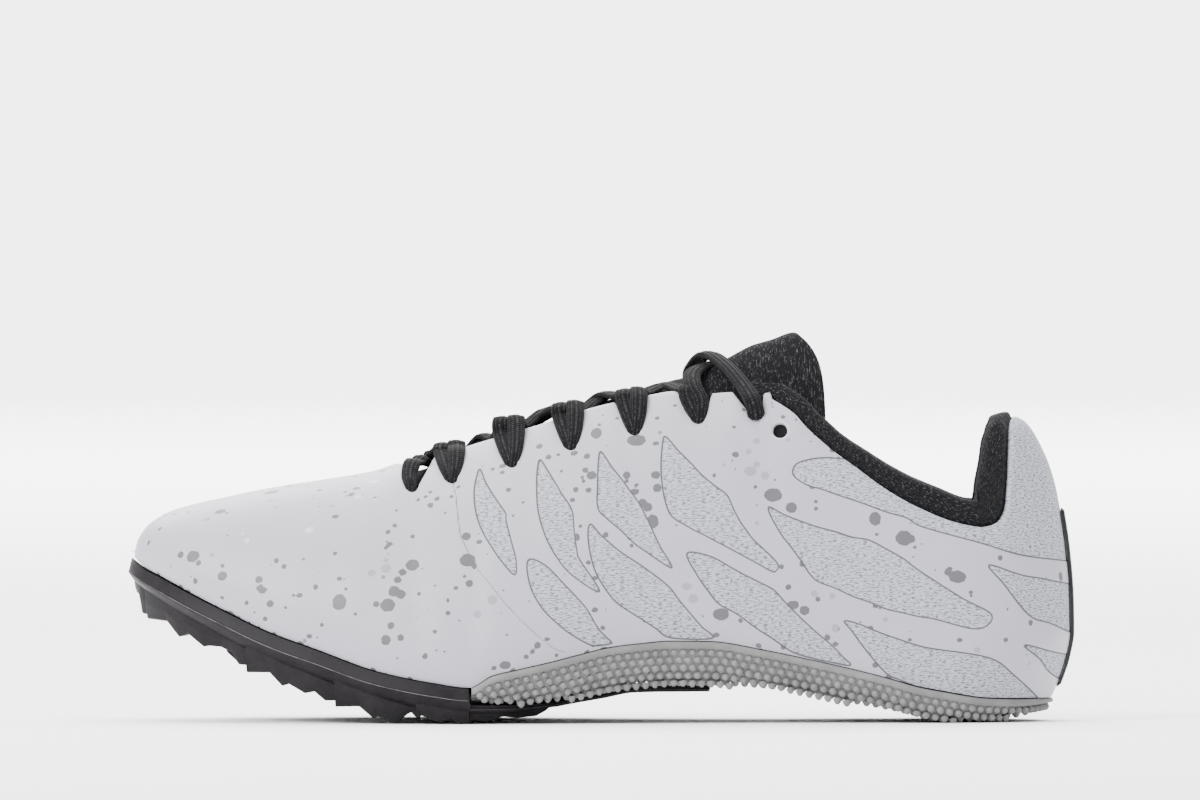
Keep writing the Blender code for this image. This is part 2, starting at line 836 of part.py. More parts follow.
def build_insole(material):
    inset = UPPER_WALL + 0.6
    shares = [share for share in shared_stations() if 0.015 < share < 0.99]
    levels = [
        (lambda b: -inset - 0.4, lambda b: seat_z(b) + INSOLE_THICK),
        (lambda b: -inset, lambda b: seat_z(b) + INSOLE_THICK * 0.5),
        (lambda b: -inset - 0.2, lambda b: seat_z(b)),
    ]
    return stack("insole", shares, levels, False, False, material)


def build_plate(material):
    front = [share for share in shared_stations() if share <= PLATE_STEP]
    rear = [share for share in shared_stations() if OUTSOLE_FRONT <= share <= PLATE_END]
    rear[0] = PLATE_STEP + 0.0015

    def tail(share):
        return smooth_step(PLATE_STEP, PLATE_STEP + 0.0015, share)

    def top(share):
        above = seat_z(share) - SEAT_GAP
        below = TOE_SPRING * outsole_share(share) - SEAT_GAP
        return above + (below - above) * tail(share)

    def base(share):
        return TOE_SPRING * plate_share(share)

    def narrow(share):
        return 6.0 * smooth_step(PLATE_STEP, PLATE_STEP + 0.08, share)

    def ridge(share):
        return top(share) + (base(share) - top(share)) * 0.5

    levels = [
        (lambda b: PLATE_EDGE_OUT - narrow(b) * 1.0 - 1.2 * tail(b), top),
        (lambda b: RIDGE_OUT - narrow(b) - 1.9 * tail(b), ridge),
        (lambda b: -PLATE_EDGE_IN - narrow(b) - tail(b), base),
    ]
    plate = stack("forefoot_plate", front + rear, levels, True, False, material)

    points = []
    faces = []
    for share, across, length, width, tip in LUGS:
        for side in (-1.0, 1.0):
            x = shoe_x(share)
            place = (x + 0.5 * length - TOE_X) / SEAT_LENGTH
            y = centre_y(place) + side * across * (half_width(place) - 2.0)
            start = len(points)
            for top_level in (True, False):
                scale = 1.0 if top_level else LUG_TIP
                ahead = x
                behind = x + length * scale
                half = 0.5 * width * scale
                for px, py in ((ahead, y - half), (behind, y - half), (behind, y + half), (ahead, y + half)):
                    there = min(max((px - TOE_X) / SEAT_LENGTH, 0.0), 1.0)
                    sink = LUG_SINK + (TAIL_SINK - LUG_SINK) * smooth_step(0.26, 0.36, place)
                    z = base(there) + sink if top_level else tip
                    points.append((px, py, z))
            a = start
            faces += [(a, a + 1, a + 2, a + 3), (a + 7, a + 6, a + 5, a + 4)]
            for k in range(4):
                n = (k + 1) % 4
                faces.append((a + k, a + 4 + k, a + 4 + n, a + n))
    lugs = mesh_object("plate_lugs", points, faces)
    combine(plate, lugs, "UNION", True)
    return plate


def build_outsole(material):
    shares = [share for share in shared_stations() if share >= OUTSOLE_FRONT]

    def top(share):
        return seat_z(share) - SEAT_GAP

    def base(share):
        return TOE_SPRING * outsole_share(share)

    def strip(share):
        return top(share) - min(OUTSOLE_STRIP, 0.45 * (top(share) - base(share)))

    def low(share):
        return base(share) + 0.22 * (top(share) - base(share))

    levels = [
        (lambda b: 0.2, top),
        (lambda b: OUTSOLE_OUT, strip),
        (lambda b: 0.2, low),
        (lambda b: -2.6, base),
    ]
    return stack("heel_outsole", shares, levels, False, True, material)


def build_strip(material):
    steps = 14
    inner = []
    outer = []
    low = seat_z(1.0) + 3.0
    for i in range(steps + 1):
        z = low + (STRIP_TOP - low) * i / steps
        row_in = []
        row_out = []
        for side in (-1.0, -0.5, 0.0, 0.5, 1.0):
            y = side * STRIP_WIDTH / 2.0
            x = back_x(y, z)
            row_in.append((x + SEAT_GAP, y, z))
            row_out.append((x + SEAT_GAP + STRIP_THICK, y, z))
        inner.append(row_in)
        outer.append(row_out)
    count = 5
    points = [p for row in outer for p in row] + [p for row in inner for p in row]
    start = (steps + 1) * count
    faces = []
    for i in range(steps):
        for j in range(count - 1):
            a = i * count + j
            faces.append((a, a + 1, a + count + 1, a + count))
            faces.append((start + a, start + a + count, start + a + count + 1, start + a + 1))
        for j in (0, count - 1):
            a = i * count + j
            faces.append((a, a + count, start + a + count, start + a))
    for j in range(count - 1):
        for i in (0, steps):
            a = i * count + j
            faces.append((a, a + 1, start + a + 1, start + a))
    return mesh_object("heel_strip", points, faces, material)


def back_x(y, z):
    """Place of the upper's back at one height and one place across."""
    low = 0.9
    high = 1.0
    for _ in range(30):
        share = (low + high) / 2.0
        if abs(side_y(share, z)) > abs(y):
            low = share
        else:
            high = share
    share = (low + high) / 2.0
    return seat_x(share) + HEEL_BULGE * lean_share(z / HEEL_HEIGHT) * smooth_step(0.80, 1.0, share)


def side_y(share, z):
    """How far out the upper's inner side stands at one height."""
    low = 0.0
    high = 1.0
    for _ in range(30):
        turn = (low + high) / 2.0
        if dome_point(share, turn)[2] > z:
            low = turn
        else:
            high = turn
    return dome_point(share, (low + high) / 2.0)[1] - centre_y(share)


def lace_rest(share, y):
    """Height that the lace lies on: the upper, and just over its edge across the throat.

    It sinks no lower than the tongue, which lifts it back onto the dome at the ankle.
    """
    dome = dome_height(share, y)
    level = top_z(share) + LACE_LIFT
    tongue = TONGUE_INSET - tongue_lift(share) - LINING_GAP
    sink = min(max(dome - level, 0.0), tongue)
    return dome - sink * (1.0 - smooth_step(0.58, 0.64, share))


def strand(name, start, finish, gap, material=None):
    """Flat lace over the dome from one notch to the next one on the other side."""
    steps = 10
    rows = []
    spots = []
    for i in range(steps + 1):
        t = i / steps
        share = start[0] + (finish[0] - start[0]) * t
        middle = centre_y(share) + BALL_WIDTH * ridge_share(share)
        y = middle + start[1] + (finish[1] - start[1]) * t
        spots.append((share, y))
    for i, (share, y) in enumerate(spots):
        before = spots[max(i - 1, 0)]
        after = spots[min(i + 1, steps)]
        run = seat_x(after[0]) - seat_x(before[0])
        swing = after[1] - before[1]
        size = math.hypot(run, swing)
        aside = (-swing / size * LACE_WIDTH / 2.0, run / size * LACE_WIDTH / 2.0)
        row = []
        for side, lift in ((-1.0, 0.0), (1.0, 0.0), (1.0, 1.0), (-1.0, 1.0)):
            px = seat_x(share) + side * aside[0]
            py = y + side * aside[1]
            here = (px - TOE_X) / SEAT_LENGTH
            z = lace_rest(here, py)
            tilt = lace_rest(here, py + 0.5) - lace_rest(here, py - 0.5)
            steep = math.hypot(1.0, tilt)
            row.append((px, py, z + (gap + lift * LACE_THICK) * steep))
        rows.append(row)
    points = [p for row in rows for p in row]
    faces = [(0, 1, 2, 3)]
    for i in range(steps):
        a = 4 * i
        for k in range(4):
            n = (k + 1) % 4
            faces.append((a + k, a + n, a + 4 + n, a + 4 + k))
    end = 4 * steps
    faces.append((end + 3, end + 2, end + 1, end))
    return mesh_object(name, points, faces, material)


def build_lace(material):
    places = []
    for row in NOTCHES:
        places.append((shoe_x(row[0]) - TOE_X) / SEAT_LENGTH)
    for i in range(len(places) - 1):
        here = places[i]
        there = places[i + 1]
        reach_here = throat_half(here) + LACE_REACH
        reach_there = throat_half(there) + LACE_REACH
        aside = (0.5 * LACE_WIDTH + 0.8) / SEAT_LENGTH
        first = (here + aside, -reach_here)
        second = (there - aside, reach_there)
        over = strand("lace_crossing_%d" % (i + 1), first, second, LACE_GAP, material)
        first = (here + aside, reach_here)
        second = (there - aside, -reach_there)
        under = strand("lace_under_%d" % (i + 1), first, second, LACE_GAP + 0.25)
        combine(over, under, "UNION")


def main():
    for old in list(bpy.data.objects):
        bpy.data.objects.remove(old)
    build_upper(surface("film_textile", (0.62, 0.62, 0.65), 0.0, 0.5))
    build_collar(surface("collar_knit", (0.02, 0.02, 0.023), 0.0, 0.9))
    build_tongue(surface("tongue_knit", (0.02, 0.02, 0.023), 0.0, 0.9))
    build_insole(surface("insole_cloth", (0.03, 0.03, 0.033), 0.0, 0.9))
    build_plate(surface("plate_polymer", (0.03, 0.026, 0.03), 0.0, 0.45))
    build_outsole(surface("outsole_rubber", (0.3, 0.3, 0.29), 0.0, 0.6))
    build_strip(surface("strip_polymer", (0.03, 0.03, 0.035), 0.0, 0.5))
    build_lace(surface("lace_cord", (0.02, 0.02, 0.023), 0.0, 0.85))


main()
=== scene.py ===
"""Looks of the left sprint shoe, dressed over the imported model.

Sizes are millimetres and become metres as each mesh is made. Toe towards -X, heel towards
+X, outer side of the foot towards -Y, floor at Z = 0.
"""

import math

import bpy
import numpy as np
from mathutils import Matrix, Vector


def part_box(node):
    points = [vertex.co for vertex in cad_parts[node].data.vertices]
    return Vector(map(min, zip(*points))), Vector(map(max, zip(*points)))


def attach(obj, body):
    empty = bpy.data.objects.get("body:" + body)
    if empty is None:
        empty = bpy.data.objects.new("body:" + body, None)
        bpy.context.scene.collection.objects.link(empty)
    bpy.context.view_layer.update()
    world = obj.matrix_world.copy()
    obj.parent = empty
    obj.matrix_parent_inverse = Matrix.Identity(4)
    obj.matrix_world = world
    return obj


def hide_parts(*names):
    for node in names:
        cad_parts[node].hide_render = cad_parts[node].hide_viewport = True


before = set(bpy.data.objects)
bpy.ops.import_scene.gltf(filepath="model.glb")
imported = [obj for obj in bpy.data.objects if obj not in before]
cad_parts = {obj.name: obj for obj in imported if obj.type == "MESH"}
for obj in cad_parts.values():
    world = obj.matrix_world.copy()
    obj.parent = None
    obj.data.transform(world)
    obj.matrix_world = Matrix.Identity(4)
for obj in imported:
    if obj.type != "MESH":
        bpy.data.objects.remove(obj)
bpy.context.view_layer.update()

MM = 0.001
SHIFT_Y = 500.0 * (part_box("heel_strip")[0].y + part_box("heel_strip")[1].y)

# Driving sizes, the same as the model's
SHOE_LENGTH = 284.1
BALL_WIDTH = 95.0
INSTEP_HEIGHT = 99.0
HEEL_HEIGHT = 92.6
TOE_SPRING = 49.0
UPPER_WALL = 1.8
UPPER_BULGE = 1.8
BULGE_HEIGHT = 9.0
HEEL_BULGE = 5.8
TOE_ROUND = 0.20
HEEL_ROUND = 0.12
SEAT_GAP = 0.3
LINING_GAP = 0.35
RIDGE_OUT = 1.95
PLATE_EDGE_OUT = 0.9
PLATE_EDGE_IN = 2.0
OUTSOLE_FRONT = 0.369
OUTSOLE_STRIP = 2.0
PLATE_END = 0.63
PLATE_STEP = 0.366
PLATE_STEP_RUN = 0.0015
PLATE_TAIL_NARROW = 6.0
PLATE_TAIL_RUN = 0.08
INSOLE_THICK = 3.0
COLLAR_PAD = 4.2
COLLAR_THIN = 1.2
PAD_START = 0.69
PAD_FULL = 0.80
COLLAR_STAND = 5.9
HEEL_STAND = 9.0
COLLAR_DEPTH = 17.0
TONGUE_THICK = 3.2
TONGUE_TIP_THICK = 8.6
LACE_WIDTH = 5.4
LACE_THICK = 1.9
EYELET_RADIUS = 2.1
STRIP_WIDTH = 9.0
STRIP_THICK = 0.8
STRIP_TOP = 64.0
SEAT_LENGTH = SHOE_LENGTH - RIDGE_OUT - HEEL_BULGE - SEAT_GAP - STRIP_THICK
TOE_X = RIDGE_OUT - SHOE_LENGTH / 2.0

# Camera: real size of one pixel of the photograph on the shoe's middle plane, and the
# pixel that shows the frame's origin
CAMERA_DISTANCE = 6000.0
CAMERA_RISE = 0.5
CAMERA_SENSOR = 36.0
PIXEL = 0.3
BACKDROP_PLACE = 12.5
BACKDROP_TOP = 5.0
FLOOR_HALF_WIDTH = 13.0
FLOOR_CURVE = 1.0
PHOTO_WIDTH = 1200
PHOTO_HEIGHT = 800
PHOTO_ORIGIN = (601.0, 720.5)

# Rows and columns of the upper's skin, and depth of its finer rows below the edge
SKIN_COLUMNS = 640
SKIN_LOW_ROWS = 120
SKIN_TOP_ROWS = 62
SHOULDER_DEPTH = 18.0
INNER_STEP = 13

PLAN_COLUMNS = ("share", "centre", "half", "ridge", "round")
PLAN = [
    (0.000, 0.100, 0.390, 0.000, 2.15),
    (0.050, 0.092, 0.398, 0.004, 2.15),
    (0.100, 0.075, 0.395, 0.010, 2.10),
    (0.150, 0.056, 0.405, 0.018, 2.10),
    (0.200, 0.038, 0.432, 0.025, 2.05),
    (0.250, 0.022, 0.463, 0.032, 1.95),
    (0.300, 0.006, 0.487, 0.036, 1.88),
    (0.340, -0.004, 0.497, 0.038, 1.82),
    (0.380, -0.014, 0.490, 0.038, 1.78),
    (0.430, -0.026, 0.463, 0.038, 1.76),
    (0.480, -0.036, 0.428, 0.036, 1.76),
    (0.530, -0.043, 0.392, 0.034, 1.80),
    (0.580, -0.045, 0.364, 0.030, 1.86),
    (0.630, -0.043, 0.348, 0.026, 1.95),
    (0.680, -0.037, 0.337, 0.020, 2.08),
    (0.730, -0.030, 0.334, 0.014, 2.20),
    (0.780, -0.022, 0.336, 0.008, 2.30),
    (0.830, -0.015, 0.339, 0.004, 2.30),
    (0.880, -0.009, 0.330, 0.000, 2.30),
    (0.930, -0.004, 0.317, 0.000, 2.30),
    (1.000, 0.000, 0.300, 0.000, 2.30),
]
SOLE_COLUMNS = ("share", "seat", "outsole", "plate")
SOLE = [
    (0.000, 1.000, 0.820, 0.820),
    (0.011, 0.946, 0.780, 0.780),
    (0.034, 0.878, 0.700, 0.700),
    (0.060, 0.799, 0.618, 0.618),
    (0.098, 0.692, 0.510, 0.510),
    (0.149, 0.557, 0.376, 0.376),
    (0.202, 0.450, 0.270, 0.270),
    (0.267, 0.321, 0.165, 0.150),
    (0.325, 0.254, 0.125, 0.085),
    (0.366, 0.223, 0.121, 0.061),
    (0.392, 0.298, 0.119, 0.061),
    (0.417, 0.331, 0.119, 0.066),
    (0.453, 0.377, 0.127, 0.090),
    (0.487, 0.426, 0.159, 0.124),
    (0.519, 0.468, 0.189, 0.154),
    (0.551, 0.490, 0.222, 0.186),
    (0.585, 0.505, 0.226, 0.190),
    (0.624, 0.503, 0.226, 0.190),
    (0.689, 0.445, 0.206, 0.190),
    (0.732, 0.395, 0.174, 0.150),
    (0.780, 0.334, 0.116, 0.100),
    (0.823, 0.272, 0.073, 0.060),
    (0.853, 0.223, 0.032, 0.030),
    (0.874, 0.200, 0.000, 0.000),
    (0.930, 0.152, 0.000, 0.000),
    (0.963, 0.146, 0.028, 0.028),
    (1.000, 0.145, 0.086, 0.086),
]
TOP_COLUMNS = ("share", "edge", "throat")
TOP = [
    (0.0000, 0.512, 0.0),
    (0.0022, 0.536, 0.0),
    (0.0087, 0.572, 0.0),
    (0.0202, 0.604, 0.0),
    (0.0381, 0.632, 0.0),
    (0.0556, 0.648, 0.0),
    (0.1024, 0.678, 0.0),
    (0.1498, 0.705, 0.0),
    (0.2114, 0.732, 0.0),
    (0.2506, 0.750, 0.0),
    (0.2850, 0.772, 5.5),
    (0.3291, 0.803, 7.5),
    (0.3585, 0.830, 8.5),
    (0.3912, 0.858, 9.0),
    (0.4391, 0.897, 9.5),
    (0.5045, 0.953, 10.5),
    (0.5590, 0.985, 11.5),
    (0.5895, 0.997, 12.5),
    (0.6375, 0.985, 16.7),
    (0.6600, 0.985, 18.6),
    (0.6887, 0.985, 19.9),
    (1.0000, 0.985, 19.9),
]
ANKLE_COLUMNS = ("share", "crown")
ANKLE = [
    (0.6000, 1.148),
    (0.6600, 1.227),
    (0.6887, 1.253),
    (0.7323, 1.325),
    (0.8000, 1.340),
    (1.0000, 1.349),
]
ANKLE_START = 0.62
ANKLE_FULL = 0.69
LEAN_COLUMNS = ("height", "back")
LEAN = [
    (0.000, -0.60),
    (0.077, 0.00),
    (0.137, 0.42),
    (0.212, 0.80),
    (0.290, 1.00),
    (0.391, 0.98),
    (0.544, 0.80),
    (0.698, 0.44),
    (0.767, 0.22),
    (0.832, -0.10),
    (0.896, -0.55),
    (0.945, -1.00),
    (0.976, -1.42),
    (1.000, -1.85),
    (1.150, -3.30),
]
COLLAR_COLUMNS = ("share", "height")
COLLAR = [
    (0.6786, 1.048),
    (0.6910, 1.025),
    (0.7026, 1.000),
    (0.7160, 0.955),
    (0.7290, 0.918),
    (0.7430, 0.881),
    (0.7670, 0.828),
    (0.7910, 0.773),
    (0.8160, 0.724),
    (0.8400, 0.687),
    (0.8670, 0.653),
    (0.8850, 0.639),
    (0.9010, 0.632),
    (0.9160, 0.643),
    (0.9270, 0.685),
    (0.9310, 0.785),
    (0.9330, 0.890),
    (0.9345, 0.960),
    (0.9365, 0.990),
    (0.9858, 1.000),
]

# Lacing notches: place of the bottom along the shoe and up the instep, and how far each
# edge slants out for each millimetre up
NOTCHES = [
    (0.3008, 0.697, 0.10, 0.55),
    (0.3429, 0.723, 0.42, 0.12),
    (0.4059, 0.771, 0.46, 0.14),
    (0.4682, 0.823, 0.50, 0.13),
    (0.5353, 0.868, 0.50, 0.13),
    (0.6023, 0.902, 0.46, 0.30),
    (0.6625, 0.916, 0.80, 0.05),
]
NOTCH_RADIUS = 1.9
EYELET_PLACE = (0.6879, 0.883)
THROAT_START = 0.2865
THROAT_END = 0.7125
THROAT_ROUND = 0.012

TONGUE_COLUMNS = ("share", "lift", "half")
TONGUE = [
    (0.260, -1.5, 12.0),
    (0.300, -1.5, 14.0),
    (0.400, -1.2, 17.0),
    (0.500, -1.0, 20.0),
    (0.600, -0.4, 22.0),
    (0.650, 2.0, 23.0),
    (0.690, 4.6, 23.0),
    (0.730, 5.8, 22.0),
]
TONGUE_START = 0.268
TONGUE_TIP = 0.722
TONGUE_RAKE = 8.0

TONGUE_INSET = UPPER_WALL + LINING_GAP + 0.5
TONGUE_SLOT = 15.0
TONGUE_NOSE = 0.88
TONGUE_SWELL = -0.9
TONGUE_FORWARD = 0.6
TONGUE_ROWS = 150
TONGUE_POINTS = 60

# Collar: where the band starts, where its edge turns up, the padded front of the heel tab
# in side view, and the swell and rounding of the pad
COLLAR_START = 0.662
COLLAR_BEND = 13
HEEL_TAB = [
    (0.8985, 0.765),
    (0.9045, 0.850),
    (0.9110, 0.945),
    (0.9250, 1.015),
    (0.9900, 1.012),
]
COLLAR_STATIONS = 210
COLLAR_ROWS = 62
COLLAR_SWELL = 1.3
COLLAR_VALLEY = 2.2
COLLAR_ROUND = 2.6

# Lace at a notch: how far each strand leans along the shoe on its way up and over the edge
LOBE_REAR = (0.3, 0.6, 1.1, 1.3, 1.3, 1.4, 3.4)
LOBE_FRONT = (-0.3, -0.7, -1.9, -3.1, -3.3, -3.1, -5.0)
LOBE_FIRST = (0.0, -0.4, -0.9, 0.0, 1.6, 3.2, 5.6)
LOBE_RISE = (-3.0, -2.0, 0.1, -0.9, -1.6, -1.2, 0.0)
CROSS_RISE = (-1.4, -2.6, 0.9, 0.1, 0.9, 0.0)
LACE_POINTS = 32
LACE_RIBS = 7
LACE_RIB_TURN = 3.6
LACE_AROUND = 13.0
LACE_HUB_DEPTH = 22.0

# Small cones of the grey outsole: spacing, size and turned profile
FLOOR_GAP = 0.02
NUB_PITCH = 2.8
NUB_RADIUS = 1.25
NUB_HEIGHT = 1.5
NUB_SIDE_ROWS = 7
NUB_ROW_STEP = 0.8 * NUB_PITCH
NUB_FIRST_DROP = 1.3
NUB_SEED = 5
NUB_INSET = 3.6
NUBS_START = 0.385
NUBS_END = 0.985
NUB_SIDES = 8
NUB_PROFILE = [(1.0, -0.15), (0.86, 0.35), (0.58, 0.78), (0.24, 0.98)]

# Lower edge of the plate's side wall in photo pixels, and where its overlapping parts start
LUG_CONTOUR = [
    (139.0, 594.0), (141.0, 614.0), (148.0, 615.0), (148.5, 618.7), (166.9, 620.6),
    (178.4, 635.9), (187.0, 632.6), (202.3, 645.4), (208.0, 644.5), (219.5, 645.4),
    (229.0, 650.2), (237.0, 662.7), (247.8, 663.6), (248.6, 670.3), (270.2, 670.3),
    (282.6, 683.7), (288.4, 681.2), (304.6, 690.8), (314.2, 688.9), (324.7, 698.0),
    (335.2, 697.7), (337.1, 703.8), (360.0, 703.3), (373.5, 715.0), (378.0, 713.4),
    (394.6, 720.0), (405.0, 712.0), (411.0, 709.0), (417.0, 715.3), (423.0, 712.0),
    (429.0, 715.0), (439.4, 718.2), (451.9, 715.8), (461.8, 720.4), (476.7, 717.0),
    (491.7, 718.2), (505.3, 713.3), (521.5, 715.0), (541.4, 713.3), (551.4, 708.3),
    (565.0, 697.1), (588.7, 699.1), (598.6, 696.6), (613.5, 692.0), (619.8, 686.7),
    (643.4, 688.4), (655.8, 685.9), (675.7, 683.4),
]
LUG_GROUPS = [138.0, 148.2, 248.2, 336.6, 418.0, 560.0, 690.0]
TOOTH_PITCH = 8.6
TOOTH_SIZE = 8.2
TEETH_START = -126.0
TEETH_END = 24.0
TEETH_INSET = 8.0
STRIP_CORNER = 2.6
STRIP_FOOT = 3.0

# Outlines on the outer side, in pixels of the photograph, each a closed smooth loop.
# Inside them the woven cloth shows; the film covers the rest of the side.
WINDOWS = {
    "front_upper": [
        (480, 469), (486, 483), (496, 499), (505.5, 513), (506, 520), (511, 540), (516, 560),
        (515, 575), (503, 563), (493, 549), (482, 530.5), (476, 513), (474, 494), (476, 479),
    ],
    "second_upper": [
        (540, 459.5), (546, 467.5), (556, 484), (562, 494), (572, 510), (574, 529), (577, 551),
        (580, 560), (600, 592), (572, 575), (556, 556), (545, 535), (538, 510), (536.6, 486),
        (537.4, 468),
    ],
    "third_upper": [
        (601, 451.5), (612, 467), (621, 478), (629, 489), (638.6, 502), (645, 514), (650.6, 526),
        (657, 540), (661, 548), (672, 568), (643, 549.6), (634, 543), (619.5, 529), (607.5, 519),
        (598, 508), (597.5, 486), (598.4, 462),
    ],
    "fourth_upper": [
        (665.7, 436.4), (678.5, 450.7), (690, 462), (702, 475), (714, 485), (727, 495),
        (733, 507.5), (740, 521), (747, 531), (754, 540), (777, 562.5), (776, 571), (771, 571),
        (755.7, 562.5), (712, 539), (694, 530), (686.5, 525.7), (675, 519), (669, 512),
        (665, 500), (662.5, 487), (661, 467), (662.5, 444),
    ],
    "front_lower": [
        (528, 560), (545, 565), (565, 585), (586, 608), (596, 625), (604, 635), (611.5, 642),
        (610, 644), (596, 646), (588, 644), (572, 635), (559, 625), (542, 608), (530, 585),
    ],
    "second_lower": [
        (591, 524), (600, 534), (610, 543), (621, 552), (645, 568), (668, 585.5), (680, 601),
        (690, 613), (702, 627), (712.7, 638.4), (671, 638), (656, 628.6), (643, 620), (632, 613),
        (614, 600), (597, 575), (590, 552), (588, 532),
    ],
    "third_lower": [
        (687, 553), (710, 556), (731.6, 567.7), (745, 575), (761, 583), (774, 590), (785, 602),
        (800.5, 617.6), (816, 632), (831.5, 645), (842, 656), (850.4, 665.5), (826, 661.5),
        (811, 658), (792, 652), (773, 639), (756, 628), (737, 614), (719, 604), (707.5, 590),
        (697, 574.6),
    ],
    "rear_wing": [
        (769.5, 506.6), (783, 514), (800.5, 521), (818, 527), (835, 531.5), (852, 537),
        (869, 540), (886.5, 549), (904, 559), (920, 571), (962, 598), (992, 615), (978, 629),
        (935, 619), (920, 616.7), (904, 613), (886.5, 609), (869, 602), (852, 596), (835, 588),
        (818, 581.5), (809, 573), (802, 562), (788, 543), (783, 537), (776, 525.5), (769.5, 513),
    ],
    "rear_lower": [
        (844.4, 621), (859, 624), (874.5, 630.5), (895, 638), (920, 646), (935, 649), (990, 658),
        (1015, 676), (1037, 697), (1037, 704), (980, 704), (920, 688), (900, 680), (888, 675),
        (874.5, 660.6), (862, 645), (852, 631),
    ],
    "heel_upper": [
        (989, 565), (1022, 575), (1050, 580), (1085, 592), (1085, 634), (1050, 623), (1029, 615),
        (1004, 584),
    ],
    "heel_lower": [(1024, 645), (1050, 651), (1085, 662), (1085, 690), (1052, 674), (1040, 659)],
    "collar": [
        (792.7, 471), (797, 463.6), (811, 459), (828, 457.5), (850, 457), (880, 440), (940, 380),
        (1100, 380), (1100, 565), (1068, 561), (1020, 554.5), (981, 543), (923, 527), (907, 518),
        (886.5, 512), (862, 503), (838, 495), (821, 489), (807, 485), (795, 477),
    ],
}
FILM_SEAM = [
    (453, 483.5), (456, 497), (460, 532), (466, 548), (474, 565), (484, 577), (492, 587),
    (501.5, 599), (513, 612), (527, 626), (541, 639), (554, 648.5), (565, 652.5),
]

# Drops of the speckle on the outer side, read in pixels of the photograph: place, half length
# and half height
DARK_DROPS = [
    (160, 529, 2.5, 2.5), (149, 543, 2.5, 2.5), (138, 540, 2, 2), (181, 555, 3.5, 3.5),
    (193, 556.5, 7, 6.4), (198, 563, 3, 3), (195, 581, 3, 3), (222, 566, 2.2, 2.2),
    (221.5, 576, 5, 5), (258.5, 579, 4, 4), (260, 586, 2.2, 2.2), (265, 590, 2.2, 2.2),
    (270, 603, 3.6, 3.6), (246, 603, 2.3, 2.3), (283.5, 566, 2.7, 2.7), (314.6, 587, 2.7, 2.7),
    (340, 579, 2.6, 2.6), (346, 589, 2, 2), (340, 602, 7, 8.5), (322, 624, 2.2, 2.2),
    (388.6, 531, 2.7, 2.7), (394.5, 525, 2.6, 2.6), (396, 510, 2.2, 2.2), (387, 548, 2.5, 2.5),
    (412.6, 535, 2.6, 2.6), (412, 565, 7, 6.6), (402, 572, 4, 4), (397.6, 580, 3.8, 3.8),
    (393.5, 592, 6, 6), (400, 593.5, 5, 5), (388, 605, 7.4, 7), (377, 605, 3.3, 3.3),
    (391, 626, 3.7, 3.7), (386, 640, 5.2, 5.2), (400, 637, 3.5, 3.5), (418.5, 593, 2.2, 2.2),
    (220.6, 511, 6, 3), (188, 512, 2.2, 1.8), (174, 514, 2.6, 2), (165, 516, 3, 2.2),
    (229, 497, 3, 2), (272, 492, 8, 2.5), (289, 486, 5, 2), (320.5, 490, 3.3, 2.4),
    (307.5, 485, 2.2, 1.8), (356, 489, 4, 3), (356, 477, 2.6, 2), (382, 471, 4, 2.6),
    (417, 499, 2.8, 2.4), (539, 446, 3.6, 3.6), (549, 457, 3.3, 3.3), (558.6, 455, 2.1, 2.1),
    (587, 457, 3.2, 3.2), (595.6, 433, 5.5, 7), (637, 440, 9.5, 6), (656, 444, 3.5, 2.3),
    (492, 469, 2.2, 2.2), (502, 466, 4, 2.2), (509, 490, 2.8, 2.8), (591, 476, 4.8, 4.8),
    (582, 477, 2, 2), (584, 481, 2.2, 2.2), (575, 490, 2.9, 2.9), (589, 490, 3.2, 3.2),
    (572, 500, 2.6, 2.6), (626, 474, 4, 4), (627, 481, 2.4, 2.4), (634, 491, 4.8, 3.6),
    (643, 502, 4.5, 4.5), (648, 507, 4.8, 4.8), (653, 521, 6, 7.5), (655, 475, 4.5, 4.5),
    (656.5, 488, 4.5, 4.5), (581, 526.5, 2, 2), (578, 537, 3, 4), (606, 534.5, 3, 3),
    (466, 537, 4.5, 4.5), (479, 542, 3.5, 2.6), (467, 560, 8, 7), (473.6, 566, 3.2, 3.2),
    (469, 584, 4, 4), (547, 640, 3, 2), (538, 645, 3.6, 3.6), (532.6, 652, 2.8, 2.4),
    (526, 656.5, 3, 2.6), (505.5, 666, 6, 3.6), (494, 668, 3.2, 2.2), (557, 655, 2, 2),
    (602, 628, 2.5, 2.5), (645, 620, 2, 2), (437, 499, 3, 3), (430, 505, 3.4, 3.4),
    (425, 497, 2.2, 2.2), (451, 498, 2.4, 2.4), (459, 487, 2.3, 2.3), (600, 425, 2, 2),
    (617, 418, 2, 2), (657, 418, 2.3, 2.3), (755, 486, 2, 2), (772.6, 495, 9, 7),
    (791.5, 507.5, 5.5, 5.5), (813, 487, 3, 2.4), (816, 501, 2, 2), (815.5, 509, 2.1, 2.1),
    (875, 519, 6, 7), (904, 538, 8.5, 7.5), (911.5, 539, 4.3, 4.3), (915, 547, 2, 2),
    (781, 567, 2.5, 2.5), (788, 588, 3, 3), (817, 599, 2.5, 2.5), (793, 605, 6, 4),
    (805, 611, 4.8, 4.8), (721, 614.5, 8.5, 5), (740, 621, 2.4, 2.4), (783, 647, 2.7, 2.7),
    (875, 665, 3, 3), (958, 577, 9, 6), (948, 572, 4, 4), (1000, 558, 3, 3), (1061, 577, 4, 5),
    (1030, 622, 3, 3), (1006, 640, 2.6, 2.6), (960, 640, 3, 2.4), (1012, 700, 3, 2.4),
]
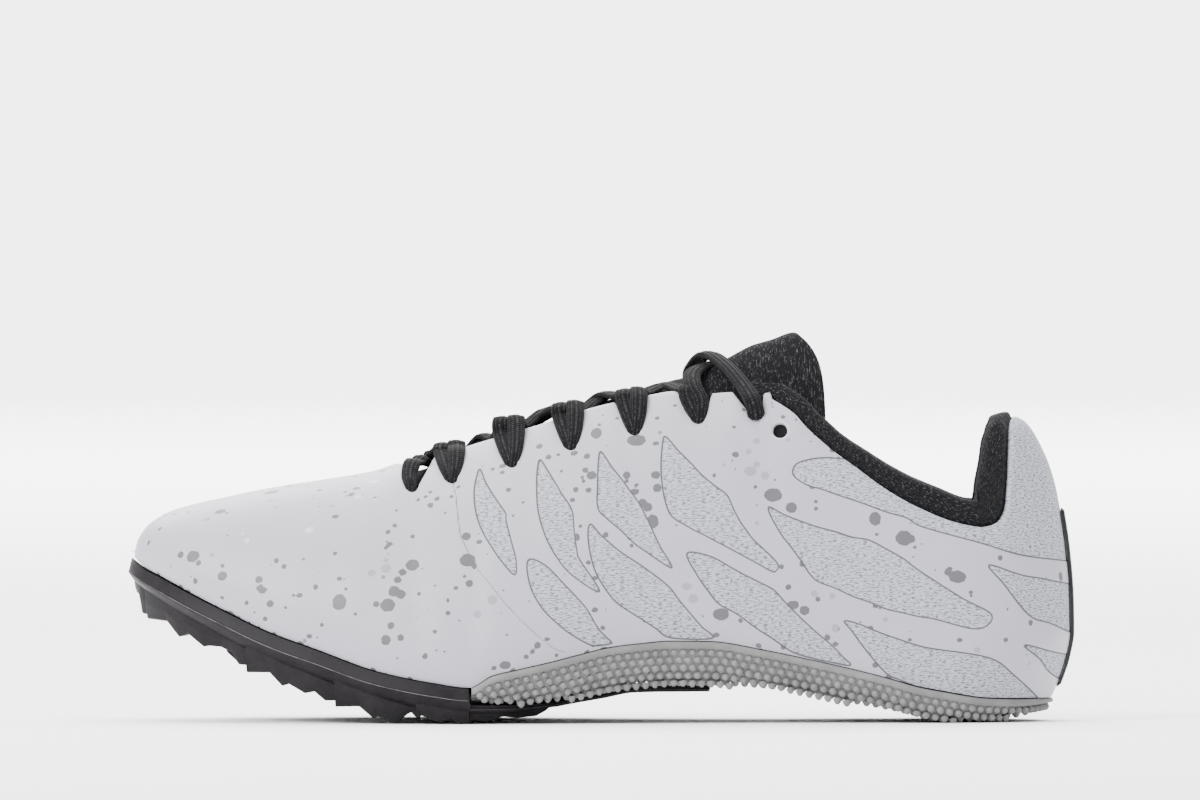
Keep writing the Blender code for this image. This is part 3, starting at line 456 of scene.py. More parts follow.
FAINT_DROPS = [
    (211, 555, 2.5, 2.5), (206, 519, 4, 3), (158, 520, 3, 2), (333, 506, 3, 2.4),
    (271.5, 500.5, 3, 2), (275, 507, 3, 2), (347, 496, 3.5, 2.6), (372, 574, 4, 4),
    (386, 568, 5, 5), (386, 561, 2.6, 2.6), (493, 600, 5, 5), (478, 614, 4, 4),
    (693, 598, 4.8, 4.8), (687, 586, 5.5, 3.5), (756, 441, 3.5, 3.5), (749, 451.5, 3, 3),
    (750.6, 471, 6, 5), (756, 464, 3, 3), (765, 475, 4.3, 4.3), (724, 464, 2.2, 2.2),
    (788, 440, 2.4, 2.4), (757.5, 524, 2.4, 2.4), (815, 593, 3.5, 3.5), (833, 596, 3.2, 3.2),
    (836, 629, 4.2, 4.2), (828, 636.5, 3, 3), (886, 619, 2.5, 2.5), (978, 650, 4, 3),
]
WHITE_DROPS = [
    (374, 482, 5.5, 4), (358, 498, 4, 3), (309, 529, 4.5, 4), (246.5, 540, 3, 3),
    (243, 533, 1.9, 1.9), (376, 501, 2, 1.8),
]

# Soft troughs and ridges of the worn-in film: ends in pixels of the photograph, half width
# and depth in millimetres; a negative depth is a ridge
CREASES = [
    ((402, 505), (418, 628), 7.0, 0.55),
    ((372, 500), (352, 600), 8.0, -0.45),
    ((300, 520), (330, 640), 11.0, 0.35),
    ((452, 500), (470, 600), 6.0, -0.40),
    ((225, 530), (262, 600), 9.0, 0.30),
    ((518, 450), (530, 520), 5.0, 0.25),
    ((622, 430), (640, 500), 5.0, 0.25),
    ((742, 440), (772, 492), 6.0, 0.45),
    ((700, 560), (640, 600), 7.0, 0.30),
    ((860, 560), (960, 640), 8.0, 0.35),
    ((1010, 470), (1034, 560), 7.0, 0.35),
    ((168, 540), (190, 580), 7.0, -0.25),
]

# Colours, as the shaders take them; of a pair, the first is the ground and the second the
# flecks and ribs painted as highlights on knit and lace, or rubbed patches on plastic and rubber
CLOTH_PALE = (0.370, 0.384, 0.430)
CLOTH_DARK = (0.095, 0.101, 0.118)
CLOTH_SHADE = (0.270, 0.282, 0.315)
FILM_COOL = (0.340, 0.331, 0.384)
FILM_WARM = (0.370, 0.361, 0.414)
FILM_WORN = (0.44, 0.44, 0.46)
SMALL_DROP_COLOUR = (0.110, 0.107, 0.118)
FAINT_DROP_COLOUR = (0.130, 0.127, 0.140)
DARK_DROP_COLOUR = (0.098, 0.095, 0.105)
WHITE_DROP_COLOUR = (0.52, 0.52, 0.54)
FILM_EDGE_SHADOW_COLOUR = (0.060, 0.060, 0.066)
SEAM_COLOUR = (0.085, 0.085, 0.092)
EYELET_RIM_COLOUR = (0.50, 0.50, 0.52)
EYELET_HOLE_LINING_AND_SHADE_COLOUR = (0.006, 0.006, 0.007)
RIDGE_HIGHLIGHT_COLOUR = (0.16, 0.155, 0.165)
LINING_COLOURS = ((0.013, 0.013, 0.015), (0.05, 0.05, 0.055))
COLLAR_COLOURS = ((0.006, 0.006, 0.007), (0.065, 0.065, 0.070))
TONGUE_COLOURS = ((0.006, 0.006, 0.007), (0.062, 0.062, 0.067))
LACE_COLOURS = ((0.0055, 0.0055, 0.006), (0.034, 0.034, 0.037))
PLATE_COLOURS = ((0.0055, 0.0045, 0.0055), (0.0125, 0.0105, 0.0125))
RUBBER_COLOURS = ((0.153, 0.152, 0.151), (0.200, 0.199, 0.197))
INSOLE_COLOURS = ((0.011, 0.011, 0.013), (0.04, 0.04, 0.043))
STRIP_COLOURS = ((0.010, 0.010, 0.012), (0.018, 0.018, 0.020))
FLOOR_COLOUR = (0.95, 0.95, 0.955)
BLACK_SHEEN = 0.035
SHEEN_ROUGHNESS = 0.45
IN_MILLIMETRES = (1000.0, 1000.0, 1000.0)

DROP_SEED = 11
INNER_SIDE_DROPS = 150
FINE_DROPS = 300
FINE_SIZE = 0.48
DROP_REACH = 3.0


def smooth_curve(table, columns, key, name):
    """Smooth function through one column of a table, free of overshoot."""
    xs = np.array([row[columns.index(key)] for row in table])
    ys = np.array([row[columns.index(name)] for row in table])
    gaps = np.diff(xs)
    rises = np.diff(ys) / gaps
    slope = np.zeros(len(xs))
    slope[0] = rises[0]
    slope[-1] = rises[-1]
    for i in range(1, len(xs) - 1):
        if rises[i - 1] * rises[i] > 0.0:
            first = 2.0 * gaps[i] + gaps[i - 1]
            second = gaps[i] + 2.0 * gaps[i - 1]
            slope[i] = (first + second) / (first / rises[i - 1] + second / rises[i])

    def value(x):
        x = np.clip(np.asarray(x, float), xs[0], xs[-1])
        i = np.clip(np.searchsorted(xs, x, side="right") - 1, 0, len(xs) - 2)
        t = (x - xs[i]) / gaps[i]
        start = (1.0 + 2.0 * t) * (1.0 - t) ** 2 * ys[i]
        leave = t * (1.0 - t) ** 2 * gaps[i] * slope[i]
        end = t * t * (3.0 - 2.0 * t) * ys[i + 1]
        arrive = t * t * (t - 1.0) * gaps[i] * slope[i + 1]
        return start + leave + end + arrive

    return value


centre_share = smooth_curve(PLAN, PLAN_COLUMNS, "share", "centre")
half_share = smooth_curve(PLAN, PLAN_COLUMNS, "share", "half")
ridge_share = smooth_curve(PLAN, PLAN_COLUMNS, "share", "ridge")
roundness = smooth_curve(PLAN, PLAN_COLUMNS, "share", "round")
seat_share = smooth_curve(SOLE, SOLE_COLUMNS, "share", "seat")
outsole_share = smooth_curve(SOLE, SOLE_COLUMNS, "share", "outsole")
plate_share = smooth_curve(SOLE, SOLE_COLUMNS, "share", "plate")
edge_share = smooth_curve(TOP, TOP_COLUMNS, "share", "edge")
throat_half = smooth_curve(TOP, TOP_COLUMNS, "share", "throat")
ankle_share = smooth_curve(ANKLE, ANKLE_COLUMNS, "share", "crown")
lean_share = smooth_curve(LEAN, LEAN_COLUMNS, "height", "back")
collar_share = smooth_curve(COLLAR, COLLAR_COLUMNS, "share", "height")
tongue_lift = smooth_curve(TONGUE, TONGUE_COLUMNS, "share", "lift")
tongue_half = smooth_curve(TONGUE, TONGUE_COLUMNS, "share", "half")


def smooth_step(low, high, x):
    t = np.clip((np.asarray(x, float) - low) / (high - low), 0.0, 1.0)
    return t * t * (3.0 - 2.0 * t)


def seat_x(share):
    return TOE_X + share * SEAT_LENGTH


def share_at(x):
    return (x - TOE_X) / SEAT_LENGTH


def shoe_x(share):
    return (share - 0.5) * SHOE_LENGTH


def pad_thick(share):
    """Thickness of the collar's padding, which grows towards the heel."""
    return COLLAR_THIN + (COLLAR_PAD - COLLAR_THIN) * smooth_step(PAD_START, PAD_FULL, share)


def running_length(points, axis=0):
    """Length along one axis of a line or grid of points, from its start to each point."""
    step = np.cumsum(np.linalg.norm(np.diff(points, axis=axis), axis=-1), axis=axis)
    return np.concatenate([np.zeros_like(np.take(step, [0], axis=axis)), step], axis=axis)


def half_width(share):
    toe = np.minimum(share / TOE_ROUND, 1.0)
    heel = np.minimum((1.0 - share) / HEEL_ROUND, 1.0)
    ends = np.maximum(1.0 - (1.0 - toe) ** 2, 0.0) * np.maximum(1.0 - (1.0 - heel) ** 2, 0.0)
    return BALL_WIDTH * half_share(share) * np.sqrt(ends)


def centre_y(share):
    return BALL_WIDTH * centre_share(share)


def seat_z(share):
    return TOE_SPRING * seat_share(share)


def crown_z(share):
    """Top of the closed dome that the upper is cut from."""
    seat = seat_z(share)
    power = roundness(share)
    part = np.minimum(throat_half(share) / np.maximum(half_width(share), 1.0), 0.62)
    fall = (1.0 - part ** power) ** (1.0 / power)
    instep = seat + (INSTEP_HEIGHT * edge_share(share) - seat) / fall
    ankle = HEEL_HEIGHT * ankle_share(share)
    return instep + (ankle - instep) * smooth_step(ANKLE_START, ANKLE_FULL, share)


def ridge_y(share):
    """Place across of the dome's crown."""
    return centre_y(share) + BALL_WIDTH * ridge_share(share)


def dome(share, angle, side):
    """Points of the upper's outer form, from angle 0 at its lower edge to the crown."""
    power = 2.0 / roundness(share)
    seat = seat_z(share)
    up = np.maximum(np.sin(angle), 0.0) ** power
    out = np.maximum(np.cos(angle), 0.0) ** power
    height = (crown_z(share) - seat) * up
    half = half_width(share)
    swell = np.minimum(half / 20.0, 1.0) * UPPER_BULGE
    swell = swell * height / BULGE_HEIGHT * np.exp(1.0 - height / BULGE_HEIGHT)
    y = centre_y(share) + BALL_WIDTH * ridge_share(share) * up * up
    y = y + side * (half * out + swell * np.minimum(out * 4.0, 1.0))
    z = seat + height
    back = HEEL_BULGE * lean_share(z / HEEL_HEIGHT)
    x = seat_x(share) + back * smooth_step(0.80, 1.0, share)
    return np.stack([x, y, z], axis=-1)


def dome_height(share, y):
    """Height of the upper's outer form at one place across."""
    side = np.where(y > ridge_y(share), 1.0, -1.0)
    low = np.zeros_like(share + y)
    high = low + math.pi / 2.0
    for _ in range(30):
        middle = 0.5 * (low + high)
        outside = (dome(share, middle, side)[..., 1] - y) * side > 0.0
        low = np.where(outside, middle, low)
        high = np.where(outside, high, middle)
    return dome(share, 0.5 * (low + high), side)[..., 2]


def collar_line(x):
    """Height of the upper's edge at the collar in side view."""
    return HEEL_HEIGHT * collar_share(x / SHOE_LENGTH + 0.5)


def in_notch(x, z):
    """True inside one of the lacing notches, in side view."""
    found = np.zeros(np.shape(x), bool)
    for share, bottom, front, rear in NOTCHES:
        middle = shoe_x(share)
        level = INSTEP_HEIGHT * bottom + NOTCH_RADIUS
        rise = z - level
        left = middle - NOTCH_RADIUS - front * rise
        right = middle + NOTCH_RADIUS + rear * rise
        above = (rise > 0.0) & (x > left) & (x < right)
        around = (x - middle) ** 2 + rise ** 2 < NOTCH_RADIUS ** 2
        found |= above | around
    return found


def opened(share, angle, side, notched):
    """True where the upper is cut away."""
    place = dome(share, angle, side)
    x, y, z = place[..., 0], place[..., 1], place[..., 2]
    start = shoe_x(COLLAR[0][0])
    cut = (x > start) & (z > collar_line(x))
    t = np.clip((share - THROAT_START) / THROAT_ROUND, 0.0, 1.0)
    half = np.maximum(throat_half(share), 3.0) * np.sqrt(1.0 - (1.0 - t) ** 2)
    throat = (share > THROAT_START) & (share < THROAT_END)
    cut |= throat & (np.abs(y - ridge_y(share)) < half) & (z > 0.62 * INSTEP_HEIGHT)
    if notched:
        cut |= in_notch(x, z) & (share > THROAT_START) & (x < start)
    return cut


def rim_angle(share, side, notched):
    """Angle at which each column of the upper ends."""
    angles = np.linspace(0.0, math.pi / 2.0, 401)
    cut = opened(share[:, None], angles[None, :], side, notched)
    first = np.where(cut.any(axis=1), cut.argmax(axis=1), len(angles) - 1)
    low = angles[np.maximum(first - 1, 0)]
    high = angles[first]
    whole = ~cut.any(axis=1)
    for _ in range(16):
        middle = 0.5 * (low + high)
        over = opened(share, middle, side, notched)
        high = np.where(over, middle, high)
        low = np.where(over, low, middle)
    return np.where(whole, math.pi / 2.0, low)


def plan_stations(count, first=0.0, last=1.0):
    """Shares that are evenly spaced round the plan of the seat."""
    share = 0.5 - 0.5 * np.cos(np.linspace(0.0, math.pi, 4001))
    share = share[(share >= first) & (share <= last)]
    run = np.hypot(np.diff(seat_x(share)), np.diff(half_width(share)))
    along = np.concatenate([[0.0], np.cumsum(run)])
    return np.interp(np.linspace(0.0, along[-1], count), along, share)


def skin_angles(share, side):
    """Angles of the rows of the upper's skin, evenly spaced up each column."""
    fine = np.linspace(0.0, math.pi / 2.0, 600)
    full = dome(share[:, None], fine[None, :], side)
    length = running_length(full, 1)
    smooth = rim_angle(share, side, False)
    rim = rim_angle(share, side, True)
    rows = np.zeros((len(share), SKIN_LOW_ROWS + SKIN_TOP_ROWS + 1))
    for i in range(len(share)):
        top = np.interp(smooth[i], fine, length[i])
        end = np.interp(rim[i], fine, length[i])
        shoulder = min(max(top - SHOULDER_DEPTH, 0.55 * top), end - 0.5)
        low = np.linspace(0.0, shoulder, SKIN_LOW_ROWS, endpoint=False)
        high = np.linspace(shoulder, end, SKIN_TOP_ROWS + 1)
        rows[i] = np.interp(np.concatenate([low, high]), length[i], fine)
    return rows


def grid_normals(grid, side):
    """Outward directions of a grid of points, columns from toe to heel, rows upwards."""
    along = np.gradient(grid, axis=0)
    up = np.gradient(grid, axis=1)
    normal = np.cross(along, up) * -side
    normal[0, :, 1] = 0.0
    normal[-1, :, 1] = 0.0
    return normal / np.maximum(np.linalg.norm(normal, axis=2, keepdims=True), 1e-9)


def grid_faces(columns, rows, start=0, flip=False):
    """Four-sided faces of a grid whose points are counted up each column."""
    i, j = np.meshgrid(np.arange(columns - 1), np.arange(rows - 1), indexing="ij")
    a = (start + i * rows + j).ravel()
    faces = np.stack([a, a + rows, a + rows + 1, a + 1], axis=1)
    return faces[:, ::-1] if flip else faces


def make_piece(name, points, faces, materials, indices=None, fields=None):
    """Mesh object in metres from millimetre points and four-sided faces."""
    points = np.asarray(points, float).reshape(-1, 3)
    points = points - np.array([0.0, -SHIFT_Y, 0.0])
    faces = np.asarray(faces, np.int32)
    mesh = bpy.data.meshes.new(name)
    mesh.vertices.add(len(points))
    mesh.vertices.foreach_set("co", (points * MM).astype(np.float32).ravel())
    mesh.loops.add(faces.size)
    mesh.loops.foreach_set("vertex_index", faces.ravel())
    mesh.polygons.add(len(faces))
    mesh.polygons.foreach_set("loop_start", np.arange(0, faces.size, 4, dtype=np.int32))
    for material in materials:
        mesh.materials.append(material)
    if indices is not None:
        mesh.polygons.foreach_set("material_index", np.asarray(indices, np.int32))
    mesh.update(calc_edges=True)
    for field, values in (fields or {}).items():
        values = np.asarray(values, np.float32)
        kind = "FLOAT_VECTOR" if values.ndim == 2 else "FLOAT"
        made = mesh.attributes.new(field, kind, "POINT")
        made.data.foreach_set("vector" if values.ndim == 2 else "value", values.ravel())
    mesh.validate()
    mesh.shade_smooth()
    piece = bpy.data.objects.new(name, mesh)
    bpy.context.scene.collection.objects.link(piece)
    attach(piece, "root")
    return piece


def seen_at(points):
    """Where the camera sees points, as millimetres on the shoe's middle plane."""
    across = -np.abs(points[..., 1])
    tilt = math.tan(math.radians(CAMERA_RISE))
    near = CAMERA_DISTANCE / (CAMERA_DISTANCE + across)
    middle_z = (PHOTO_ORIGIN[1] - PHOTO_HEIGHT / 2.0) * PIXEL
    x = points[..., 0] * near
    z = middle_z + (points[..., 2] - middle_z + across * tilt) * near
    return np.stack([x, z], axis=-1)


def from_photo(pixels):
    """Millimetres on the shoe's middle plane for pixels of the photograph."""
    pixels = np.asarray(pixels, float)
    x = (pixels[..., 0] - PHOTO_ORIGIN[0]) * PIXEL
    z = (PHOTO_ORIGIN[1] - pixels[..., 1]) * PIXEL
    return np.stack([x, z], axis=-1)


def spline(points, steps, closed=False):
    """Smooth line through points, with the given number of steps between two of them."""
    points = np.asarray(points, float)
    if closed:
        ring = np.concatenate([points[-1:], points, points[:2]])
    else:
        first = 2.0 * points[:1] - points[1:2]
        last = 2.0 * points[-1:] - points[-2:-1]
        ring = np.concatenate([first, points, last])
    t = np.linspace(0.0, 1.0, steps, endpoint=False)[:, None]
    made = []
    for i in range(1, len(ring) - 2):
        a, b, c, d = ring[i - 1], ring[i], ring[i + 1], ring[i + 2]
        made.append(0.5 * (2.0 * b + (c - a) * t + (2.0 * a - 5.0 * b + 4.0 * c - d) * t ** 2
                           + (3.0 * b - a - 3.0 * c + d) * t ** 3))
    made = np.concatenate(made)
    return made if closed else np.concatenate([made, points[-1:]])


def line_distance(places, line, closed=False):
    """Distance of places from a line of points."""
    best = np.full(len(places), 1e9)
    ends = np.roll(line, -1, axis=0) if closed else line[1:]
    starts = line if closed else line[:-1]
    for a, b in zip(starts, ends):
        run = b - a
        t = np.clip((places - a) @ run / max(run @ run, 1e-9), 0.0, 1.0)
        gap = places - (a + t[:, None] * run)
        best = np.minimum(best, np.einsum("ij,ij->i", gap, gap))
    return np.sqrt(best)


def inside_loop(places, loop):
    """True for places inside a closed line."""
    found = np.zeros(len(places), bool)
    for a, b in zip(loop, np.roll(loop, -1, axis=0)):
        spans = (a[1] > places[:, 1]) != (b[1] > places[:, 1])
        if a[1] != b[1]:
            cross = a[0] + (places[:, 1] - a[1]) / (b[1] - a[1]) * (b[0] - a[0])
            found ^= spans & (places[:, 0] < cross)
    return found


def loop_field(places, loops, reach=DROP_REACH):
    """Distance inside the nearest loop in millimetres, negative outside, cut at the reach."""
    field = np.full(len(places), -reach)
    for loop in loops:
        low = loop.min(axis=0) - reach
        high = loop.max(axis=0) + reach
        near = np.all((places > low) & (places < high), axis=1)
        if not near.any():
            continue
        there = places[near]
        gap = line_distance(there, loop, True)
        gap = np.where(inside_loop(there, loop), gap, -gap)
        field[near] = np.maximum(field[near], np.clip(gap, -reach, reach))
    return field


def drop_field(places, skin, drops, reach=DROP_REACH):
    """Distance inside the nearest drop of the speckle, measured over the skin."""
    field = np.full(len(places), -reach)
    for x, z, long, tall in drops:
        centre = np.argmin((places[:, 0] - x) ** 2 + (places[:, 1] - z) ** 2)
        tall = max(tall, 0.7 * long)
        offset = skin - skin[centre]
        near = np.abs(offset[:, 0]) < long + reach
        along = offset[near, 0] / long
        across = np.hypot(offset[near, 1], offset[near, 2]) / tall
        size = np.hypot(along, across)
        field[near] = np.maximum(field[near], (1.0 - size) * min(long, tall))
    return np.clip(field, -reach, reach)


def photo_drops(table):
    """Drops read from the photograph, in millimetres on the middle plane."""
    made = []
    for x, y, long, tall in table:
        place = from_photo((x, y))
        made.append((place[0], place[1], long * PIXEL, tall * PIXEL))
    return made


def fine_drops(seed, count):
    """Small scattered specks between the other drops."""
    return [(x, z, FINE_SIZE * long, FINE_SIZE * tall) for x, z, long, tall in inner_drops(seed, count)]


def inner_drops(seed, count):
    """Drops of the same kind for the side of the shoe that the photograph hides."""
    chance = np.random.default_rng(seed)
    made = []
    for _ in range(count):
        x = chance.uniform(-138.0, 138.0)
        z = chance.uniform(8.0, 100.0)
        size = 0.55 + 1.7 * chance.random() ** 3
        made.append((x, z, size * chance.uniform(0.9, 1.3), size))
    return made


def crease_depth(places):
    """Depth of the soft troughs at places on the middle plane."""
    depth = np.zeros(len(places))
    for start, end, half, low in CREASES:
        line = from_photo(np.array([start, end]))
        gap = line_distance(places, spline(line, 6)) / half
        depth += low * np.exp(-gap ** 2 * 1.6)
    return depth


class Nodes:
    """Short way to write a material's nodes."""

    def __init__(self, name):
        self.material = bpy.data.materials.new(name)
        self.material.use_nodes = True
        self.tree = self.material.node_tree
        self.shader = self.tree.nodes["Principled BSDF"]

    def add(self, kind, inputs=None, output=0, **settings):
        made = self.tree.nodes.new(kind)
        for key, value in settings.items():
            setattr(made, key, value)
        for key, value in (inputs or {}).items():
            self.put(made.inputs[key], value)
        return made.outputs[output]

    def put(self, socket, value):
        if isinstance(value, bpy.types.NodeSocket):
            self.tree.links.new(value, socket)
        elif hasattr(value, "__len__") and len(value) == 3 and len(socket.default_value) == 4:
            socket.default_value = (*value, 1.0)
        else:
            socket.default_value = value

    def set(self, **values):
        for key, value in values.items():
            self.put(self.shader.inputs[key.replace("_", " ").title()], value)

    def gloss(self, specular, sheen=0.0):
        self.shader.inputs["Specular IOR Level"].default_value = specular
        if sheen:
            self.shader.inputs["Sheen Weight"].default_value = sheen
            self.shader.inputs["Sheen Roughness"].default_value = SHEEN_ROUGHNESS

    def speckle(self, name, ragged, blur):
        return self.ramp(self.math("ADD", self.field(name), ragged), -blur, blur)

    def math(self, operation, a, b=0.0):
        return self.add("ShaderNodeMath", {0: a, 1: b}, operation=operation)

    def field(self, name, output="Fac"):
        made = self.tree.nodes.new("ShaderNodeAttribute")
        made.attribute_name = name
        return made.outputs[output]

    def ramp(self, value, low, high, start=0.0, end=1.0):
        made = self.add("ShaderNodeMapRange", {"Value": value, "From Min": low, "From Max": high,
                                               "To Min": start, "To Max": end},
                        interpolation_type="SMOOTHSTEP")
        return made

    def mix(self, share, a, b):
        made = self.tree.nodes.new("ShaderNodeMix")
        made.data_type = "RGBA"
        self.put(made.inputs[0], share)
        self.put(made.inputs[6], a)
        self.put(made.inputs[7], b)
        return made.outputs[2]

    def place(self, scale=(1.0, 1.0, 1.0), source=None):
        if source is None:
            source = self.add("ShaderNodeTexCoord", output=3)
        return self.add("ShaderNodeMapping", {"Vector": source, "Scale": scale})

    def noise(self, vector, scale, detail=2.0, roughness=0.5):
        return self.add("ShaderNodeTexNoise", {"Vector": vector, "Scale": scale, "Detail": detail,
                                               "Roughness": roughness})

    def bump(self, height, distance, normal=None, strength=1.0):
        inputs = {"Height": height, "Distance": distance, "Strength": strength}
        if normal is not None:
            inputs["Normal"] = normal
        return self.add("ShaderNodeBump", inputs)


def film_material():
    """Satin film with a sprayed speckle over a white woven cloth."""
    made = Nodes("film_over_cloth")
    where = made.place(IN_MILLIMETRES)
    weave = made.field("weave", "Vector")
    window = made.field("window")
    wobble = made.noise(where, 0.9, 2.0)
    ragged = made.math("MULTIPLY", made.math("SUBTRACT", wobble, 0.5), 0.7)

    in_window = made.ramp(window, -0.06, 0.06)
    # Painted shadow: a thin dark line along both sides of each window's outline, standing for the
    # shadow of the film's cut edge
    edge = made.ramp(made.math("ABSOLUTE", window), 0.14, 0.34, 1.0, 0.0)
    seam = made.ramp(made.field("seam"), 0.10, 0.38, 1.0, 0.0)

    dashes = made.place((0.58, 2.05, 1.0), weave)
    strokes = made.noise(dashes, 1.2, 2.0, 0.6)
    dark_stroke = made.ramp(strokes, 0.47, 0.62)
    lumps = made.noise(made.place((0.9, 1.6, 1.0), weave), 1.1, 2.0)
    cloth = made.mix(dark_stroke, CLOTH_PALE, CLOTH_DARK)
    cloth = made.mix(made.ramp(lumps, 0.35, 0.7, 0.0, 0.35), cloth, CLOTH_SHADE)

    tint = made.noise(where, 0.035, 2.0)
    film = made.mix(tint, FILM_COOL, FILM_WARM)
    film = made.mix(made.ramp(made.noise(where, 0.5, 2.0), 0.45, 0.75, 0.0, 0.10), film,
                    FILM_WORN)

    dark = made.speckle("dark", ragged, 0.08)
    faint = made.speckle("faint", ragged, 0.10)
    white = made.speckle("white", ragged, 0.10)
    fine = made.add("ShaderNodeTexVoronoi", {"Vector": where, "Scale": 0.17, "Randomness": 1.0})
    cell = made.add("ShaderNodeTexVoronoi", {"Vector": where, "Scale": 0.17, "Randomness": 1.0},
                    output=1)
    pick = made.add("ShaderNodeSeparateColor", {"Color": cell})
    size = made.math("MULTIPLY", made.math("POWER", pick, 3.0), 0.125)
    small = made.math("GREATER_THAN", size, fine)
    film = made.mix(made.math("MULTIPLY", small, 0.8), film, SMALL_DROP_COLOUR)
    film = made.mix(made.math("MULTIPLY", faint, 0.45), film, FAINT_DROP_COLOUR)
    film = made.mix(dark, film, DARK_DROP_COLOUR)
    film = made.mix(made.math("MULTIPLY", white, 0.8), film, WHITE_DROP_COLOUR)

    colour = made.mix(in_window, film, cloth)
    # Paint the shadow line along the window outlines
    colour = made.mix(made.math("MULTIPLY", edge, 0.92), colour, FILM_EDGE_SHADOW_COLOUR)
    colour = made.mix(made.math("MULTIPLY", seam, 0.85), colour, SEAM_COLOUR)
    rim = made.ramp(made.math("ABSOLUTE", made.math("ADD", made.field("eyelet"), 0.45)), 0.15, 0.5,
                    0.7, 0.0)
    colour = made.mix(rim, colour, EYELET_RIM_COLOUR)
    # The eyelet is a shallow pocket coloured near black: the black lining behind its opening, with
    # painted shade of its depth
    hole_lining_and_shade = made.ramp(made.field("eyelet"), -0.15, 0.10)
    colour = made.mix(hole_lining_and_shade, colour, EYELET_HOLE_LINING_AND_SHADE_COLOUR)

    mesh_bump = made.noise(made.place((1.4, 2.2, 1.0), weave), 2.2, 2.0)
    film_height = made.math("MULTIPLY", mesh_bump, 0.10)
    cloth_height = made.math("MULTIPLY", made.math("SUBTRACT", 1.0, strokes), 0.9)
    step = made.math("MULTIPLY", made.ramp(window, -0.25, 0.15), -1.0)
    height = made.add("ShaderNodeMix", {0: in_window, 2: film_height, 3: cloth_height})
    height = made.math("ADD", height, step)
    drops = made.math("MULTIPLY", made.math("MAXIMUM", dark, white), 0.15)
    height = made.math("ADD", height, drops)
    rough = made.ramp(in_window, 0.0, 1.0, 0.42, 0.85)
    made.set(Base_Color=colour, Roughness=made.math("MAXIMUM", rough, hole_lining_and_shade))
    made.set(Normal=made.bump(height, 0.00022))
    made.gloss(0.28)
    return made.material


def knit_material(name, base, fleck, scale, field=None, dent=0.00035):
    """Black knit with short pale flecks where its ribs catch the light."""
    made = Nodes(name)
    source = made.field(field, "Vector") if field else made.place(IN_MILLIMETRES)
    ribs = made.noise(made.place((0.55 * scale, 1.5 * scale, 0.9 * scale), source), 1.6, 3.0, 0.6)
    grain = made.noise(made.place((2.2 * scale, 2.2 * scale, 2.2 * scale), source), 1.5, 2.0)
    pale = made.ramp(made.math("MULTIPLY", ribs, made.math("ADD", grain, 0.5)), 0.53, 0.75)
    colour = made.mix(pale, base, fleck)
    made.set(Base_Color=colour, Roughness=0.92, Normal=made.bump(ribs, dent))
    made.gloss(0.06, BLACK_SHEEN)
    return made.material


def lace_material(name, base, pale):
    """Black ribbed cord: lengthwise ribs crossed by the slant of their stitches, their tops painted
    paler as highlights.
    """
    made = Nodes(name)
    weave = made.field("weave", "Vector")
    split = made.tree.nodes.new("ShaderNodeSeparateXYZ")
    made.put(split.inputs[0], weave)
    across, along = split.outputs[0], split.outputs[1]
    rib = made.math("ABSOLUTE", made.math("SINE", made.math("MULTIPLY", across, LACE_RIB_TURN)))
    slant = made.math("ADD", made.math("MULTIPLY", along, 7.5), made.math("MULTIPLY", across, 3.0))
    stitch = made.math("ADD", made.math("MULTIPLY", made.math("SINE", slant), 0.5), 0.5)
    highlight_breakup = made.noise(made.place((1.0, 1.0, 1.0), weave), 0.8, 3.0, 0.6)
    height = made.math("ADD", rib, made.math("MULTIPLY", stitch, 0.30))
    # Painted highlights: the tops of ribs and stitches coloured paler, made patchy by noise
    shown = made.math("MULTIPLY", made.ramp(height, 0.85, 1.25), made.ramp(highlight_breakup, 0.35, 0.65))
    made.set(Base_Color=made.mix(shown, base, pale), Roughness=0.9)
    made.set(Normal=made.bump(height, 0.00030))
    made.gloss(0.08, BLACK_SHEEN)
    return made.material


def plastic_material(name, base, pale, rough, grain_size=2.0, dent=0.00006, line=False,
                     shine=0.14):
    """Moulded plastic or rubber with a fine grain, rubbed paler in patches; with line set, a painted
    highlight along the marked ridge.
    """
    made = Nodes(name)
    where = made.place(IN_MILLIMETRES)
    patches = made.noise(where, 0.12, 4.0, 0.6)
    grain = made.noise(where, grain_size, 2.0)
    colour = made.mix(made.ramp(patches, 0.35, 0.75), base, pale)
    if line:
        # Painted highlight: a pale line along the marked ridge rows, made patchy by noise
        highlight_breakup = made.ramp(made.noise(where, 0.25, 2.0), 0.3, 0.6, 0.35, 1.0)
        shown = made.math("MULTIPLY", made.ramp(made.field("line"), 0.80, 0.99), highlight_breakup)
        colour = made.mix(shown, colour, RIDGE_HIGHLIGHT_COLOUR)
    made.set(Base_Color=colour, Roughness=made.ramp(patches, 0.2, 0.8, rough - 0.08, rough + 0.1))
    made.set(Normal=made.bump(grain, dent))
    made.gloss(shine)
    return made.material


